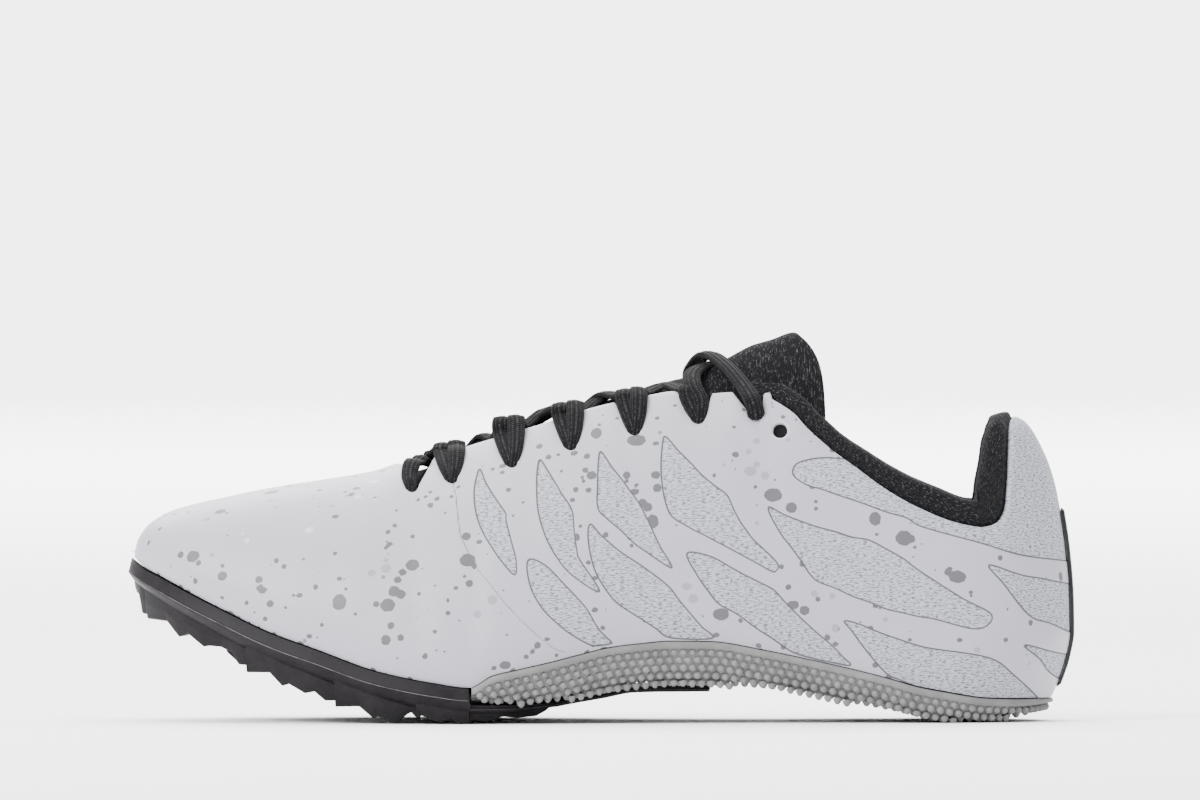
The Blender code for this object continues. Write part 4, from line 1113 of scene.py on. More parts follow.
def skin_points(share, side):
    """Grid of the upper's skin with its creases, and the fields that colour it."""
    angles = skin_angles(share, side)
    grid = dome(share[:, None], angles, side)
    normal = grid_normals(grid, side)
    flat = seen_at(grid + np.array([0.0, SHIFT_Y, 0.0])).reshape(-1, 2)
    loops = [spline(from_photo(loop), 5, True) for loop in WINDOWS.values()]
    if side < 0.0:
        dark = photo_drops(DARK_DROPS) + fine_drops(DROP_SEED + 3, FINE_DROPS)
        faint = photo_drops(FAINT_DROPS)
        white = photo_drops(WHITE_DROPS)
    else:
        dark = inner_drops(DROP_SEED, INNER_SIDE_DROPS)
        dark += fine_drops(DROP_SEED + 4, FINE_DROPS)
        faint = inner_drops(DROP_SEED + 1, INNER_SIDE_DROPS // 4)
        white = inner_drops(DROP_SEED + 2, INNER_SIDE_DROPS // 20)
    x = shoe_x(EYELET_PLACE[0])
    z = INSTEP_HEIGHT * EYELET_PLACE[1]
    eyelet = EYELET_RADIUS - np.hypot(grid[..., 0] - x, grid[..., 2] - z)
    eyelet = np.maximum(eyelet, -DROP_REACH)
    up = running_length(grid, 1)
    travel = running_length(grid[:, SKIN_LOW_ROWS // 2])[:, None] + np.zeros_like(up)
    weave = np.stack([travel, up + grid[:, :1, 2], np.zeros_like(up)], axis=-1)
    skin = grid.reshape(-1, 3)
    fields = {
        "window": loop_field(flat, loops),
        "seam": np.clip(line_distance(flat, spline(from_photo(FILM_SEAM), 4)), 0.0, DROP_REACH),
        "dark": drop_field(flat, skin, dark),
        "faint": drop_field(flat, skin, faint),
        "white": drop_field(flat, skin, white),
        "eyelet": eyelet.reshape(-1),
        "weave": weave.reshape(-1, 3),
    }
    depth = crease_depth(flat).reshape(grid.shape[:2])
    fade = smooth_step(0.0, 6.0, up) * smooth_step(0.0, 8.0, up[:, -1:] - up)
    depth = depth * fade
    depth += 2.0 * smooth_step(-0.35, 0.15, eyelet)
    depth += 0.18 * smooth_step(-0.3, 0.3, fields["window"].reshape(depth.shape))
    behind = smooth_step(0.655, 0.70, share)[:, None]
    edge_gap = (up[:, -1:] - up) / 4.5
    depth += 0.7 * behind * np.maximum(1.0 - edge_gap, 0.0) ** 2
    laced = (1.0 - behind) * smooth_step(THROAT_START - 0.003, THROAT_START + 0.006, share)[:, None]
    depth += 0.35 * laced * np.maximum(1.0 - edge_gap * 2.5, 0.0) ** 2
    return grid - normal * depth[..., None], normal, fields


def build_upper(film, lining):
    """Outer and inner skin of the upper, in four pieces that share their edges."""
    share = plan_stations(SKIN_COLUMNS)
    half = SKIN_COLUMNS // 2
    made = []
    for side, side_name in ((-1.0, "outer"), (1.0, "inner")):
        grid, normal, fields = skin_points(share, side)
        rows = grid.shape[1]
        keep = list(range(0, rows - 1, INNER_STEP)) + [rows - 1]
        inside = (grid - normal * UPPER_WALL)[:, keep]
        for first, last, end_name in ((0, half, "front"), (half, SKIN_COLUMNS - 1, "rear")):
            part = slice(first, last + 1)
            count = last - first + 1
            outer = grid[part].reshape(-1, 3)
            inner = inside[part].reshape(-1, 3)
            start = len(outer)
            few = len(keep)
            skin = grid_faces(count, rows, 0, side > 0.0)
            back = grid_faces(count, few, start, side < 0.0)
            i = np.arange(count - 1)
            a = i * rows + rows - 1
            b = start + i * few + few - 1
            rim = np.stack([a, a + rows, b + few, b], axis=1)
            if side > 0.0:
                rim = rim[:, ::-1]
            faces = np.concatenate([skin, rim, back])
            slots = np.concatenate([np.zeros(len(skin) + len(rim)), np.ones(len(back))])
            values = {}
            for key, value in fields.items():
                shaped = value.reshape(grid.shape[:2] + value.shape[1:])
                whole = np.concatenate([shaped[part].reshape(-1, *value.shape[1:]),
                                        shaped[:, keep][part].reshape(-1, *value.shape[1:])])
                values[key] = whole
            points = np.concatenate([outer, inner])
            piece = make_piece("upper_%s_%s" % (side_name, end_name), points, faces,
                               [film, lining], slots, values)
            made.append(piece)
    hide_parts("upper")
    return made


def side_height(share, angle, side):
    """Side-view place of dome points: along the shoe and up."""
    place = dome(share, angle, side)
    return place[..., 0], place[..., 2]


def angle_at(share, side, line):
    """Angle at which each column first rises over a line in side view."""
    angles = np.linspace(0.0, math.pi / 2.0, 301)
    x, z = side_height(share[:, None], angles[None, :], side[:, None])
    over = z > line(x)
    first = np.where(over.any(axis=1), over.argmax(axis=1), len(angles) - 1)
    low = angles[np.maximum(first - 1, 0)]
    high = angles[first]
    for _ in range(14):
        middle = 0.5 * (low + high)
        x, z = side_height(share, middle, side)
        high = np.where(z > line(x), middle, high)
        low = np.where(z > line(x), low, middle)
    return low


def collar_lines():
    """Edge of the upper, top of the padded band and lower end of the lining, side view."""
    edge = np.array([(shoe_x(share), HEEL_HEIGHT * height) for share, height in COLLAR])
    run = np.gradient(edge, axis=0)
    run /= np.linalg.norm(run, axis=1, keepdims=True)
    out = np.stack([-run[:, 1], run[:, 0]], axis=1)
    count = COLLAR_BEND
    swell = COLLAR_STAND + COLLAR_VALLEY * smooth_step(shoe_x(0.74), shoe_x(0.85), edge[:, 0])
    stand = np.where(edge[:, 0] > shoe_x(0.89), HEEL_STAND, swell)[:, None]
    top = list((edge + out * stand)[:count])
    top += [np.array([shoe_x(share), HEEL_HEIGHT * height]) for share, height in HEEL_TAB]
    top = spline(np.array(top), 8)
    low = list((edge - out * COLLAR_DEPTH)[:count])
    low.append(np.array([shoe_x(1.02), low[-1][1]]))
    return spline(edge, 6), top, np.array(low)


def build_collar(knit):
    """Padded band round the ankle, one closed loop of points for each column."""
    edge, top, low = collar_lines()
    one = plan_stations(COLLAR_STATIONS, COLLAR_START, 1.0)
    share = np.concatenate([one, one[-2::-1]])
    side = np.concatenate([-np.ones(len(one)), np.ones(len(one) - 1)])
    start = angle_at(share, side, lambda x: np.interp(x, low[:, 0], low[:, 1]))
    end = angle_at(share, side, lambda x: np.interp(x, top[:, 0], top[:, 1]))
    t = np.linspace(0.0, 1.0, COLLAR_ROWS)[None, :] ** 0.8
    angle = start[:, None] + (np.maximum(end, start + 0.01) - start)[:, None] * t
    grid = dome(share[:, None], angle, side[:, None])
    along = np.gradient(grid, axis=0)
    up = np.gradient(grid, axis=1)
    normal = np.cross(along, up)
    normal /= np.maximum(np.linalg.norm(normal, axis=2, keepdims=True), 1e-9)
    flat = grid[..., [0, 2]].reshape(-1, 2)
    to_top = line_distance(flat, top).reshape(grid.shape[:2])
    to_edge = line_distance(flat, edge).reshape(grid.shape[:2])
    over = flat[:, 1] > np.interp(flat[:, 0], edge[:, 0], edge[:, 1])
    to_edge = np.where(over.reshape(to_edge.shape), to_edge, -to_edge)
    pad = pad_thick(share)[:, None]
    outer = UPPER_WALL + LINING_GAP - COLLAR_SWELL * smooth_step(0.2, 2.4, to_edge)
    deep = UPPER_WALL + LINING_GAP + pad * (1.0 - 0.35 * smooth_step(6.0, 16.0, -to_edge))
    round_off = np.clip(1.0 - to_top / COLLAR_ROUND, 0.0, 1.0)
    thick = np.sqrt(np.maximum(1.0 - round_off ** 2, 0.0))
    middle = 0.5 * (outer + deep)
    half = 0.5 * (deep - outer) * thick
    half[:, -1] = 0.0
    outside = grid - normal * (middle - half)[..., None]
    inside = grid - normal * (middle + half)[..., None]
    loop = np.concatenate([outside, inside[:, -2::-1]], axis=1)
    faces = grid_faces(loop.shape[0], loop.shape[1])
    around = running_length(loop, 1)
    travel = running_length(loop[:, COLLAR_ROWS - 1])[:, None] + np.zeros_like(around)
    weave = np.stack([travel, around - around[:, COLLAR_ROWS - 1:COLLAR_ROWS],
                      np.zeros_like(around)], axis=-1)
    piece = make_piece("collar_band", loop, faces, [knit], None, {"weave": weave.reshape(-1, 3)})
    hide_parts("collar_lining")
    return piece


def build_tongue(knit):
    """Padded tongue, one closed loop of points for each row across."""
    t = np.linspace(0.0, 1.0, TONGUE_ROWS)
    t = (1.0 - (1.0 - t) ** 1.35)[:, None]
    v = np.linspace(-1.0, 1.0, TONGUE_POINTS)[None, :]
    share = TONGUE_START + (TONGUE_TIP - TONGUE_START) * t
    half = tongue_half(share)
    middle = ridge_y(share)
    y = middle + v * half
    under = UPPER_WALL + 2.0 * LINING_GAP + 0.8 + pad_thick(share + 0.04)
    inset = TONGUE_INSET + (under - TONGUE_INSET) * smooth_step(0.62, 0.66, share)
    inset = inset - TONGUE_SWELL * smooth_step(0.60, 0.70, share) * (1.0 - 0.8 * v * v)
    height = dome_height(share, y)
    open_half = np.minimum(np.maximum(throat_half(share), 3.0), TONGUE_SLOT)
    slot = np.maximum(1.0 - (v * half / open_half) ** 2, 0.0)
    lift = tongue_lift(share)
    z = height - inset + np.where(lift > 0.0, lift * slot, lift)
    tilt = dome_height(share, y + 0.5) - dome_height(share, y - 0.5)
    steep = np.hypot(1.0, tilt)
    z = z - (steep - 1.0) * inset
    drop = dome_height(share, middle + 0.0 * y) - height
    x = seat_x(share) + TONGUE_RAKE * (1.0 - np.exp(-drop / 2.8)) * t ** 3
    thick = TONGUE_THICK + (TONGUE_TIP_THICK - TONGUE_THICK) * smooth_step(0.62, 0.92, t)
    thick = thick * np.where(share > 0.62, 1.0 - 0.45 * v * v, 1.0)
    last = np.clip((t - TONGUE_NOSE) / (1.0 - TONGUE_NOSE), 0.0, 1.0)
    end = np.sqrt(1.0 - np.minimum(last, 0.995) ** 2)
    flank = np.sqrt(1.0 - np.clip((np.abs(v) - 0.86) / 0.14, 0.0, 0.99) ** 2)
    fall = 0.5 * thick * (1.0 - end)
    thick = thick * end * flank
    swell = TONGUE_FORWARD * smooth_step(0.55, 1.0, t)
    top = np.stack([x + swell, y, z - fall - 0.2 * thick * (1.0 - flank)], axis=-1)
    low = np.stack([x + swell, y - v * thick * 0.35, z - fall - thick * np.minimum(steep, 1.5)],
                   axis=-1)
    loop = np.concatenate([top, low[:, ::-1], top[:, :1]], axis=1)
    faces = grid_faces(loop.shape[0], loop.shape[1])
    count = loop.shape[1]
    caps = []
    for row, turned in ((0, True), (TONGUE_ROWS - 1, False)):
        a = row * count + np.arange(TONGUE_POINTS - 1)
        b = row * count + 2 * TONGUE_POINTS - 1 - np.arange(TONGUE_POINTS - 1)
        cap = np.stack([a, b, b - 1, a + 1], axis=1)
        caps.append(cap[:, ::-1] if turned else cap)
    faces = np.concatenate([faces] + caps)
    weave = np.stack([loop[..., 1] * 1.0, loop[..., 0] * 1.15, loop[..., 2] * 0.2], axis=-1)
    piece = make_piece("tongue_pad", loop, faces, [knit], None, {"weave": weave.reshape(-1, 3)})
    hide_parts("tongue")
    return piece


def ribbon(path, axis_points, widths, thicks):
    """Grid of a flat ribbed cord along a smooth path, its flat side away from an axis."""
    run = np.gradient(path, axis=0)
    run /= np.linalg.norm(run, axis=1, keepdims=True)
    up = path - axis_points
    across = np.cross(run, up)
    across /= np.linalg.norm(across, axis=1, keepdims=True)
    up = np.cross(across, run)
    turn = np.linspace(0.0, 2.0 * math.pi, LACE_POINTS, endpoint=False)
    wide = np.sign(np.cos(turn)) * np.abs(np.cos(turn)) ** 0.75
    tall = np.sign(np.sin(turn)) * np.abs(np.sin(turn)) ** 0.65
    tall = tall * (1.0 + 0.13 * np.cos(wide * LACE_RIBS * math.pi))
    grid = path[:, None, :] + across[:, None, :] * (wide[None, :] * widths[:, None] / 2.0)[..., None]
    grid = grid + up[:, None, :] * (tall[None, :] * thicks[:, None] / 2.0)[..., None]
    return grid


def ribbon_faces(rings, start):
    """Faces of a closed ribbon, with both of its ends filled."""
    i, k = np.meshgrid(np.arange(rings - 1), np.arange(LACE_POINTS), indexing="ij")
    n = (k + 1) % LACE_POINTS
    a = start + i * LACE_POINTS + k
    b = start + i * LACE_POINTS + n
    sides = np.stack([a, b, b + LACE_POINTS, a + LACE_POINTS], axis=-1).reshape(-1, 4)
    half = LACE_POINTS // 2
    caps = []
    for ring, turned in ((0, True), (rings - 1, False)):
        first = start + ring * LACE_POINTS
        for k in range(half - 1):
            face = [first + k, first + k + 1, first + LACE_POINTS - k - 2,
                    first + LACE_POINTS - k - 1]
            caps.append(face[::-1] if turned else face)
    return np.concatenate([sides, np.array(caps)])


def on_dome(x, z, side, out):
    """Point of the upper's outer form at a place in side view, moved out square to it."""
    share = share_at(x)
    low, high = 0.0, math.pi / 2.0
    for _ in range(30):
        middle = 0.5 * (low + high)
        if dome(np.array(share), middle, side)[2] > z:
            high = middle
        else:
            low = middle
    angle = 0.5 * (low + high)
    place = dome(np.array(share), angle, side)
    up = dome(np.array(share), angle + 0.01, side) - place
    normal = np.array([0.0, side * up[2], -side * up[1]])
    return place + normal / np.linalg.norm(normal) * out


def notch_place(number):
    """Middle, bottom height and edge height of a lacing notch in side view."""
    share, bottom = NOTCHES[number][:2]
    x = float(shoe_x(share))
    return x, INSTEP_HEIGHT * bottom, float(INSTEP_HEIGHT * edge_share(share_at(x)))


def lace_run(first, second, side, high):
    """Points of the lace from one notch, over its edge and the tongue, to the next one."""
    points = []
    for number, here, order in ((first, side, 1), (second, -side, -1)):
        x, bottom, edge = notch_place(number)
        share = share_at(x)
        middle = float(ridge_y(share))
        half = float(throat_half(share))
        shifts = LOBE_REAR if order > 0 else LOBE_FRONT
        if number == 0:
            shifts = LOBE_FIRST
        rise = (0.6 if order > 0 else 0.0) + LOBE_RISE[number]
        stretch = [
            on_dome(x + shifts[0], bottom + 0.4, here, -2.4),
            on_dome(x + shifts[1], bottom + 2.2, here, -0.5),
            on_dome(x + shifts[2], 0.5 * (bottom + edge), here, 0.5),
            on_dome(x + shifts[3], edge - 1.8, here, 1.5),
            np.array([x + shifts[4], middle + here * (half + 1.6), edge + 2.3 + rise]),
            np.array([x + shifts[5], middle + here * (half - 0.8), edge + 3.3 + rise]),
            np.array([x + shifts[6], middle + here * (half - 4.2),
                      edge + min(1.7, 0.6 + CROSS_RISE[first])]),
        ]
        points.append(stretch if order > 0 else stretch[::-1])
    x0, _, edge0 = notch_place(first)
    x1, _, edge1 = notch_place(second)
    x = 0.5 * (x0 + x1)
    share = share_at(x)
    middle = float(ridge_y(share))
    crown = float(dome_height(np.array(share), np.array(middle)))
    tongue = crown - TONGUE_INSET + float(tongue_lift(share))
    level = 0.5 * (edge0 + edge1) + CROSS_RISE[first]
    level = max(level, tongue + 0.9) + (1.4 if high else 0.0)
    level = min(level, 0.5 * (edge0 + edge1) + 2.6)
    points[0].append(np.array([x, middle, level + 0.5]))
    return np.array(points[0] + points[1])


def build_laces(lace):
    """The whole lace: a crossing each way between each two notches, and the last loops."""
    runs = []
    for i in range(len(NOTCHES) - 2):
        runs.append(lace_run(i, i + 1, -1.0, i % 2 == 0))
        runs.append(lace_run(i, i + 1, 1.0, i % 2 == 1))
    last = len(NOTCHES) - 1
    for side in (-1.0, 1.0):
        x6, bottom6, edge6 = notch_place(last - 1)
        x7, bottom7, edge7 = notch_place(last)
        middle = float(ridge_y(0.64))
        runs.append(np.array([
            on_dome(x6 + 0.3, bottom6 + 0.4, -side, -2.4),
            on_dome(x6 + 0.6, bottom6 + 2.2, -side, -0.5),
            on_dome(x6 + 0.6, edge6 - 2.4, -side, 0.8),
            np.array([x6 - 1.5, middle - side * 14.5, edge6 + 2.4]),
            np.array([x6 - 1.6, middle - side * 8.0, edge6 + (7.2 if side < 0 else 6.0)]),
            np.array([x6 + 2.6, middle, edge6 + (11.8 if side < 0 else 8.4)]),
            np.array([x6 + 8.2, middle + side * 8.5, edge6 + 8.6]),
            np.array([x6 + 13.2, middle + side * 16.5, edge7 + 3.6]),
            on_dome(x7 - 1.2, edge7 - 1.4, side, 1.8),
            on_dome(x7 - 0.3, bottom7 + 3.0, side, 1.4),
            on_dome(x7 + 0.1, bottom7 + 1.4, side, 0.9),
            on_dome(x7 + 0.2, bottom7 + 0.7, side, -0.4),
        ]))
    points = []
    faces = []
    weaves = []
    start = 0
    for run in runs:
        path = spline(run, 9)
        rings = len(path)
        share = share_at(path[:, 0])
        hub = np.stack([path[:, 0], ridge_y(share), path[:, 2] * 0.0], axis=-1)
        hub[:, 2] = INSTEP_HEIGHT * edge_share(share) - LACE_HUB_DEPTH
        t = np.linspace(0.0, 1.0, rings)
        loose = run[-1, 0] > notch_place(last)[0] - 1.0
        pinch = smooth_step(0.0, 0.24, t) * smooth_step(0.0, 0.06 if loose else 0.24, 1.0 - t)
        grid = ribbon(path, hub, LACE_WIDTH * (0.62 + 0.38 * pinch),
                      LACE_THICK * (1.5 - 0.5 * pinch))
        step = running_length(path)
        turn = np.arange(LACE_POINTS) / LACE_POINTS
        weave = np.stack(np.broadcast_arrays(turn[None, :] * LACE_AROUND, step[:, None],
                                             0.0 * step[:, None]), axis=-1)
        points.append(grid.reshape(-1, 3))
        weaves.append(weave.reshape(-1, 3))
        faces.append(ribbon_faces(rings, start))
        start += rings * LACE_POINTS
    piece = make_piece("laces", np.concatenate(points), np.concatenate(faces), [lace], None,
                       {"weave": np.concatenate(weaves)})
    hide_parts(*["lace_crossing_%d" % k for k in range(1, len(NOTCHES))])
    return piece


def plan_place(share, side, out):
    """Points of the seat's plan, moved outwards square to the plan."""
    step = 0.0008
    near = np.clip(share, step, 1.0 - step)
    run = seat_x(near + step) - seat_x(near - step)
    swing = (centre_y(near + step) + side * half_width(near + step)
             - centre_y(near - step) - side * half_width(near - step))
    size = np.hypot(run, swing)
    x = seat_x(share) - side * swing / size * out
    y = centre_y(share) + side * half_width(share) + side * run / size * out
    return np.stack([x, y], axis=-1)


def sole_body(name, share, levels, across, material, line=None):
    """Closed body of the sole from its rim levels, with a flat top and a lower face."""
    rows = []
    for side in (-1.0, 1.0):
        wall = []
        for out, height in levels:
            xy = plan_place(share, side, out(share) if callable(out) else out)
            wall.append(np.concatenate([xy, height(share)[:, None]], axis=1))
        rows.append(np.stack(wall, axis=1))
    left, right = rows
    t = np.linspace(0.0, 1.0, across)[None, 1:-1, None]
    base = left[:, -1:] * (1.0 - t) + right[:, -1:] * t
    loop = np.concatenate([left, base, right[:, ::-1], left[:, :1]], axis=1)
    faces = grid_faces(loop.shape[0], loop.shape[1])
    count = loop.shape[1]
    deep = len(levels)
    caps = []
    for row, turned in ((0, True), (len(share) - 1, False)):
        for k in range(deep - 1):
            a = row * count + k
            b = row * count + count - 2 - k
            face = [a, b, b - 1, a + 1]
            caps.append(face[::-1] if turned else face)
    faces = np.concatenate([faces, np.array(caps)])
    fields = None
    # The marked row and its mirror carry the painted highlight along the ridge
    if line is not None:
        pale = np.zeros(loop.shape[:2])
        pale[:, line] = 1.0
        pale[:, count - 2 - line] = 1.0
        fields = {"line": pale.reshape(-1)}
    return make_piece(name, loop, faces, [material], None, fields)


def nub_mesh(places, normals, size, height):
    """Small rounded cones standing on places along their normals, in one mesh."""
    helper = np.where(np.abs(normals[:, :1]) < 0.9, np.array([[1.0, 0.0, 0.0]]),
                      np.array([[0.0, 1.0, 0.0]]))
    a = np.cross(normals, helper)
    a /= np.linalg.norm(a, axis=1, keepdims=True)
    b = np.cross(normals, a)
    points = []
    for reach, rise in NUB_PROFILE:
        for k in range(NUB_SIDES):
            turn = 2.0 * math.pi * k / NUB_SIDES
            ring = places + (a * math.cos(turn) + b * math.sin(turn)) * (size * reach)[:, None]
            points.append(ring + normals * (height * rise)[:, None])
    points = np.stack(points, axis=1)
    per = points.shape[1]
    faces = []
    for level in range(len(NUB_PROFILE) - 1):
        for k in range(NUB_SIDES):
            n = (k + 1) % NUB_SIDES
            low = level * NUB_SIDES
            faces.append([low + k, low + n, low + NUB_SIDES + n, low + NUB_SIDES + k])
    top = (len(NUB_PROFILE) - 1) * NUB_SIDES
    for k in range(0, NUB_SIDES // 2 - 1):
        faces.append([top + k, top + k + 1, top + NUB_SIDES - k - 2, top + NUB_SIDES - k - 1])
    faces = np.array(faces)[None] + (np.arange(len(points)) * per)[:, None, None]
    return points.reshape(-1, 3), faces.reshape(-1, 4)


def outsole_top(share):
    return seat_z(share) - SEAT_GAP


def outsole_base(share):
    return TOE_SPRING * outsole_share(share)


def build_outsole(rubber):
    """Grey heel piece: smooth upper strip, and rows of small cones below it and underneath."""
    share = np.unique(np.concatenate([np.linspace(OUTSOLE_FRONT, 0.42, 12),
                                      plan_stations(150, 0.42, 1.0)]))

    def strip(b):
        return outsole_top(b) - np.minimum(OUTSOLE_STRIP, 0.4 * (outsole_top(b) - outsole_base(b)))

    def lift(b, part):
        return outsole_base(b) + part * (outsole_top(b) - outsole_base(b)) + NUB_HEIGHT * (1 - part)

    levels = [
        (0.25, outsole_top),
        (0.5, lambda b: outsole_top(b) - 0.35),
        (0.5, strip),
        (-0.35, lambda b: strip(b) - 0.25),
        (-0.6, lambda b: lift(b, 0.42)),
        (-1.5, lambda b: lift(b, 0.14)),
        (-3.4, lambda b: lift(b, 0.0)),
    ]
    body = sole_body("outsole_body", share, levels, 30, rubber)
    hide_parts("heel_outsole")

    places = []
    normals = []
    outline = plan_stations(1200, OUTSOLE_FRONT + 0.006, 1.0)
    for side in (-1.0, 1.0):
        rim = plan_place(outline, side, 0.0)
        run = running_length(rim)
        for row in range(NUB_SIDE_ROWS):
            shift = 0.5 * (row % 2)
            spots = (np.arange(int(run[-1] / NUB_PITCH)) + shift + 0.25) * NUB_PITCH
            there = np.interp(spots, run, outline)
            drop = NUB_FIRST_DROP + row * NUB_ROW_STEP
            room = strip(there) - outsole_base(there)
            fits = drop < room - 0.3
            there, spots = there[fits], spots[fits]
            xy = plan_place(there, side, -0.5)
            ahead = plan_place(there, side, 1.0) - plan_place(there, side, 0.0)
            z = strip(there) - drop
            share_down = drop / np.maximum(strip(there) - outsole_base(there), 1.0)
            tilt = 0.15 + 1.1 * smooth_step(0.55, 1.0, share_down)
            xy = xy - ahead * (1.6 * smooth_step(0.5, 1.0, share_down))[:, None]
            normal = np.concatenate([ahead * np.cos(tilt)[:, None], -np.sin(tilt)[:, None]], axis=1)
            places.append(np.concatenate([xy, z[:, None]], axis=1))
            normals.append(normal)
    for i, x in enumerate(np.arange(shoe_x(NUBS_START), shoe_x(NUBS_END), NUB_PITCH)):
        share_here = share_at(x)
        wide = float(half_width(share_here)) - NUB_INSET
        if wide < 1.0:
            continue
        rows = np.arange(-wide, wide, NUB_PITCH) + (0.5 * NUB_PITCH if i % 2 else 0.0)
        rows = rows[rows < wide]
        ys = float(centre_y(share_here)) + rows
        z = float(outsole_base(share_here)) + NUB_HEIGHT
        places.append(np.stack([x + 0.0 * ys, ys, z + 0.0 * ys], axis=1))
        normals.append(np.stack([0.0 * ys, 0.0 * ys, -1.0 + 0.0 * ys], axis=1))
    places = np.concatenate(places)
    normals = np.concatenate(normals)
    chance = np.random.default_rng(NUB_SEED)
    size = NUB_RADIUS * chance.uniform(0.94, 1.06, len(places))
    height = np.where(normals[:, 2] < -0.9, NUB_HEIGHT - 0.05, NUB_HEIGHT * 0.8)
    points, faces = nub_mesh(places, normals, size, height)
    points[:, 2] = np.maximum(points[:, 2], FLOOR_GAP)
    nubs = make_piece("outsole_nubs", points, faces, [rubber])
    return body, nubs


def build_plate(plastic):
    """Black plate: body with a sharp side ridge, toothed side walls and inner teeth."""
    front = plan_stations(190, 0.0, PLATE_STEP)
    rear = plan_stations(90, PLATE_STEP + PLATE_STEP_RUN, PLATE_END)
    share = np.concatenate([front, rear])

    def tail(b):
        return smooth_step(PLATE_STEP, PLATE_STEP + PLATE_STEP_RUN, b)

    def top(b):
        above = seat_z(b) - SEAT_GAP
        below = outsole_base(b) - SEAT_GAP
        return above + (below - above) * tail(b)

    def base(b):
        return TOE_SPRING * plate_share(b)

    def narrow(b):
        return PLATE_TAIL_NARROW * smooth_step(PLATE_STEP, PLATE_STEP + PLATE_TAIL_RUN, b)

    def part(b, share_down):
        return top(b) + (base(b) - top(b)) * share_down

    levels = [
        (lambda b: PLATE_EDGE_OUT - narrow(b) - 1.2 * tail(b), top),
        (lambda b: RIDGE_OUT - 0.28 - narrow(b) - 1.9 * tail(b), lambda b: part(b, 0.40)),
        (lambda b: RIDGE_OUT - narrow(b) - 1.9 * tail(b), lambda b: part(b, 0.47)),
        (lambda b: RIDGE_OUT - 0.22 - narrow(b) - 1.9 * tail(b), lambda b: part(b, 0.54)),
        (lambda b: 0.15 - narrow(b) - 1.5 * tail(b), lambda b: part(b, 0.80)),
        (lambda b: -PLATE_EDGE_IN - narrow(b) - tail(b), base),
    ]
    body = sole_body("plate_body", share, levels, 16, plastic, 2)
    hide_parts("forefoot_plate")

    points = []
    faces = []
    start = 0
    contour = from_photo(LUG_CONTOUR)
    groups = from_photo([(x, 700.0) for x in LUG_GROUPS])[:, 0]
    walls = plan_stations(900, 0.0, PLATE_END - 0.02)
    for side in (-1.0, 1.0):
        x = plan_place(walls, side, -1.0)[:, 0]
        group = np.clip(np.searchsorted(groups, x, side="right") - 1, 0, len(groups) - 2)
        along = (x - groups[group]) / (groups[group + 1] - groups[group])
        out = 0.15 - 2.2 * np.clip(along, 0.0, 1.0) - narrow(walls) - 1.5 * tail(walls)
        z = np.interp(x, contour[:, 0], contour[:, 1])
        z = np.clip(z, 0.03, base(walls) - 0.1)
        high = base(walls) + 1.6
        rows = []
        for reach, level in ((0.0, high), (-0.25, 0.5 * (high + z)), (-0.8, z + 0.35),
                             (-1.3, z), (-4.6, z + 0.3), (-7.0, high)):
            xy = plan_place(walls, side, out + reach)
            rows.append(np.concatenate([xy, level[:, None]], axis=1))
        rows.append(rows[0])
        wall = np.stack(rows, axis=1)
        points.append(wall.reshape(-1, 3))
        faces.append(grid_faces(wall.shape[0], wall.shape[1], start, side > 0.0))
        start += wall.shape[0] * wall.shape[1]
    for i, x in enumerate(np.arange(TEETH_START, TEETH_END, TOOTH_PITCH)):
        share_here = share_at(x)
        wide = float(half_width(share_here)) - TEETH_INSET - float(narrow(share_here))
        count = int(wide / TOOTH_PITCH * 2.0)
        if count < 1:
            continue
        ys = (np.arange(count) - 0.5 * (count - 1)) * TOOTH_PITCH + float(centre_y(share_here))
        ys = ys + (0.25 if i % 2 else -0.25) * TOOTH_PITCH
        z = float(base(share_here))
        tip = max(float(np.interp(x, contour[:, 0], contour[:, 1])) + 0.6, 0.05)
        if z - tip < 1.0:
            continue
        for y in ys:
            corners = []
            for level, half, shift in ((z + 0.8, 0.5, 0.0), (z - 0.4 * (z - tip), 0.40, 0.1),
                                       (tip + 0.4, 0.17, 0.35), (tip, 0.12, 0.35)):
                r = half * TOOTH_SIZE
                ahead = x + shift * TOOTH_SIZE * 0.4
                corners.append([(ahead - r, y - r, level), (ahead + r, y - r, level),
                                (ahead + r, y + r, level), (ahead - r, y + r, level)])
            points.append(np.array(corners).reshape(-1, 3))
            made = [[start + 12 + k for k in (3, 2, 1, 0)]]
            for level in range(3):
                for k in range(4):
                    n = (k + 1) % 4
                    a = start + 4 * level
                    made.append([a + k, a + 4 + k, a + 4 + n, a + n])
            faces.append(np.array(made))
            start += 16
    lugs = make_piece("plate_teeth", np.concatenate(points), np.concatenate(faces), [plastic],
                      None, {"line": np.zeros(start)})
    for polygon in lugs.data.polygons:
        polygon.use_smooth = False
    return body, lugs


def build_insole(cloth):
    """Thin insole with a soft upper edge."""
    inset = UPPER_WALL + 0.6
    share = plan_stations(170, 0.012, 0.99)
    levels = [
        (-inset - 1.0, lambda b: seat_z(b) + INSOLE_THICK),
        (-inset - 0.3, lambda b: seat_z(b) + INSOLE_THICK * 0.86),
        (-inset, lambda b: seat_z(b) + INSOLE_THICK * 0.5),
        (-inset - 0.2, seat_z),
    ]
    piece = sole_body("insole_sheet", share, levels, 24, cloth)
    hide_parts("insole")
    return piece


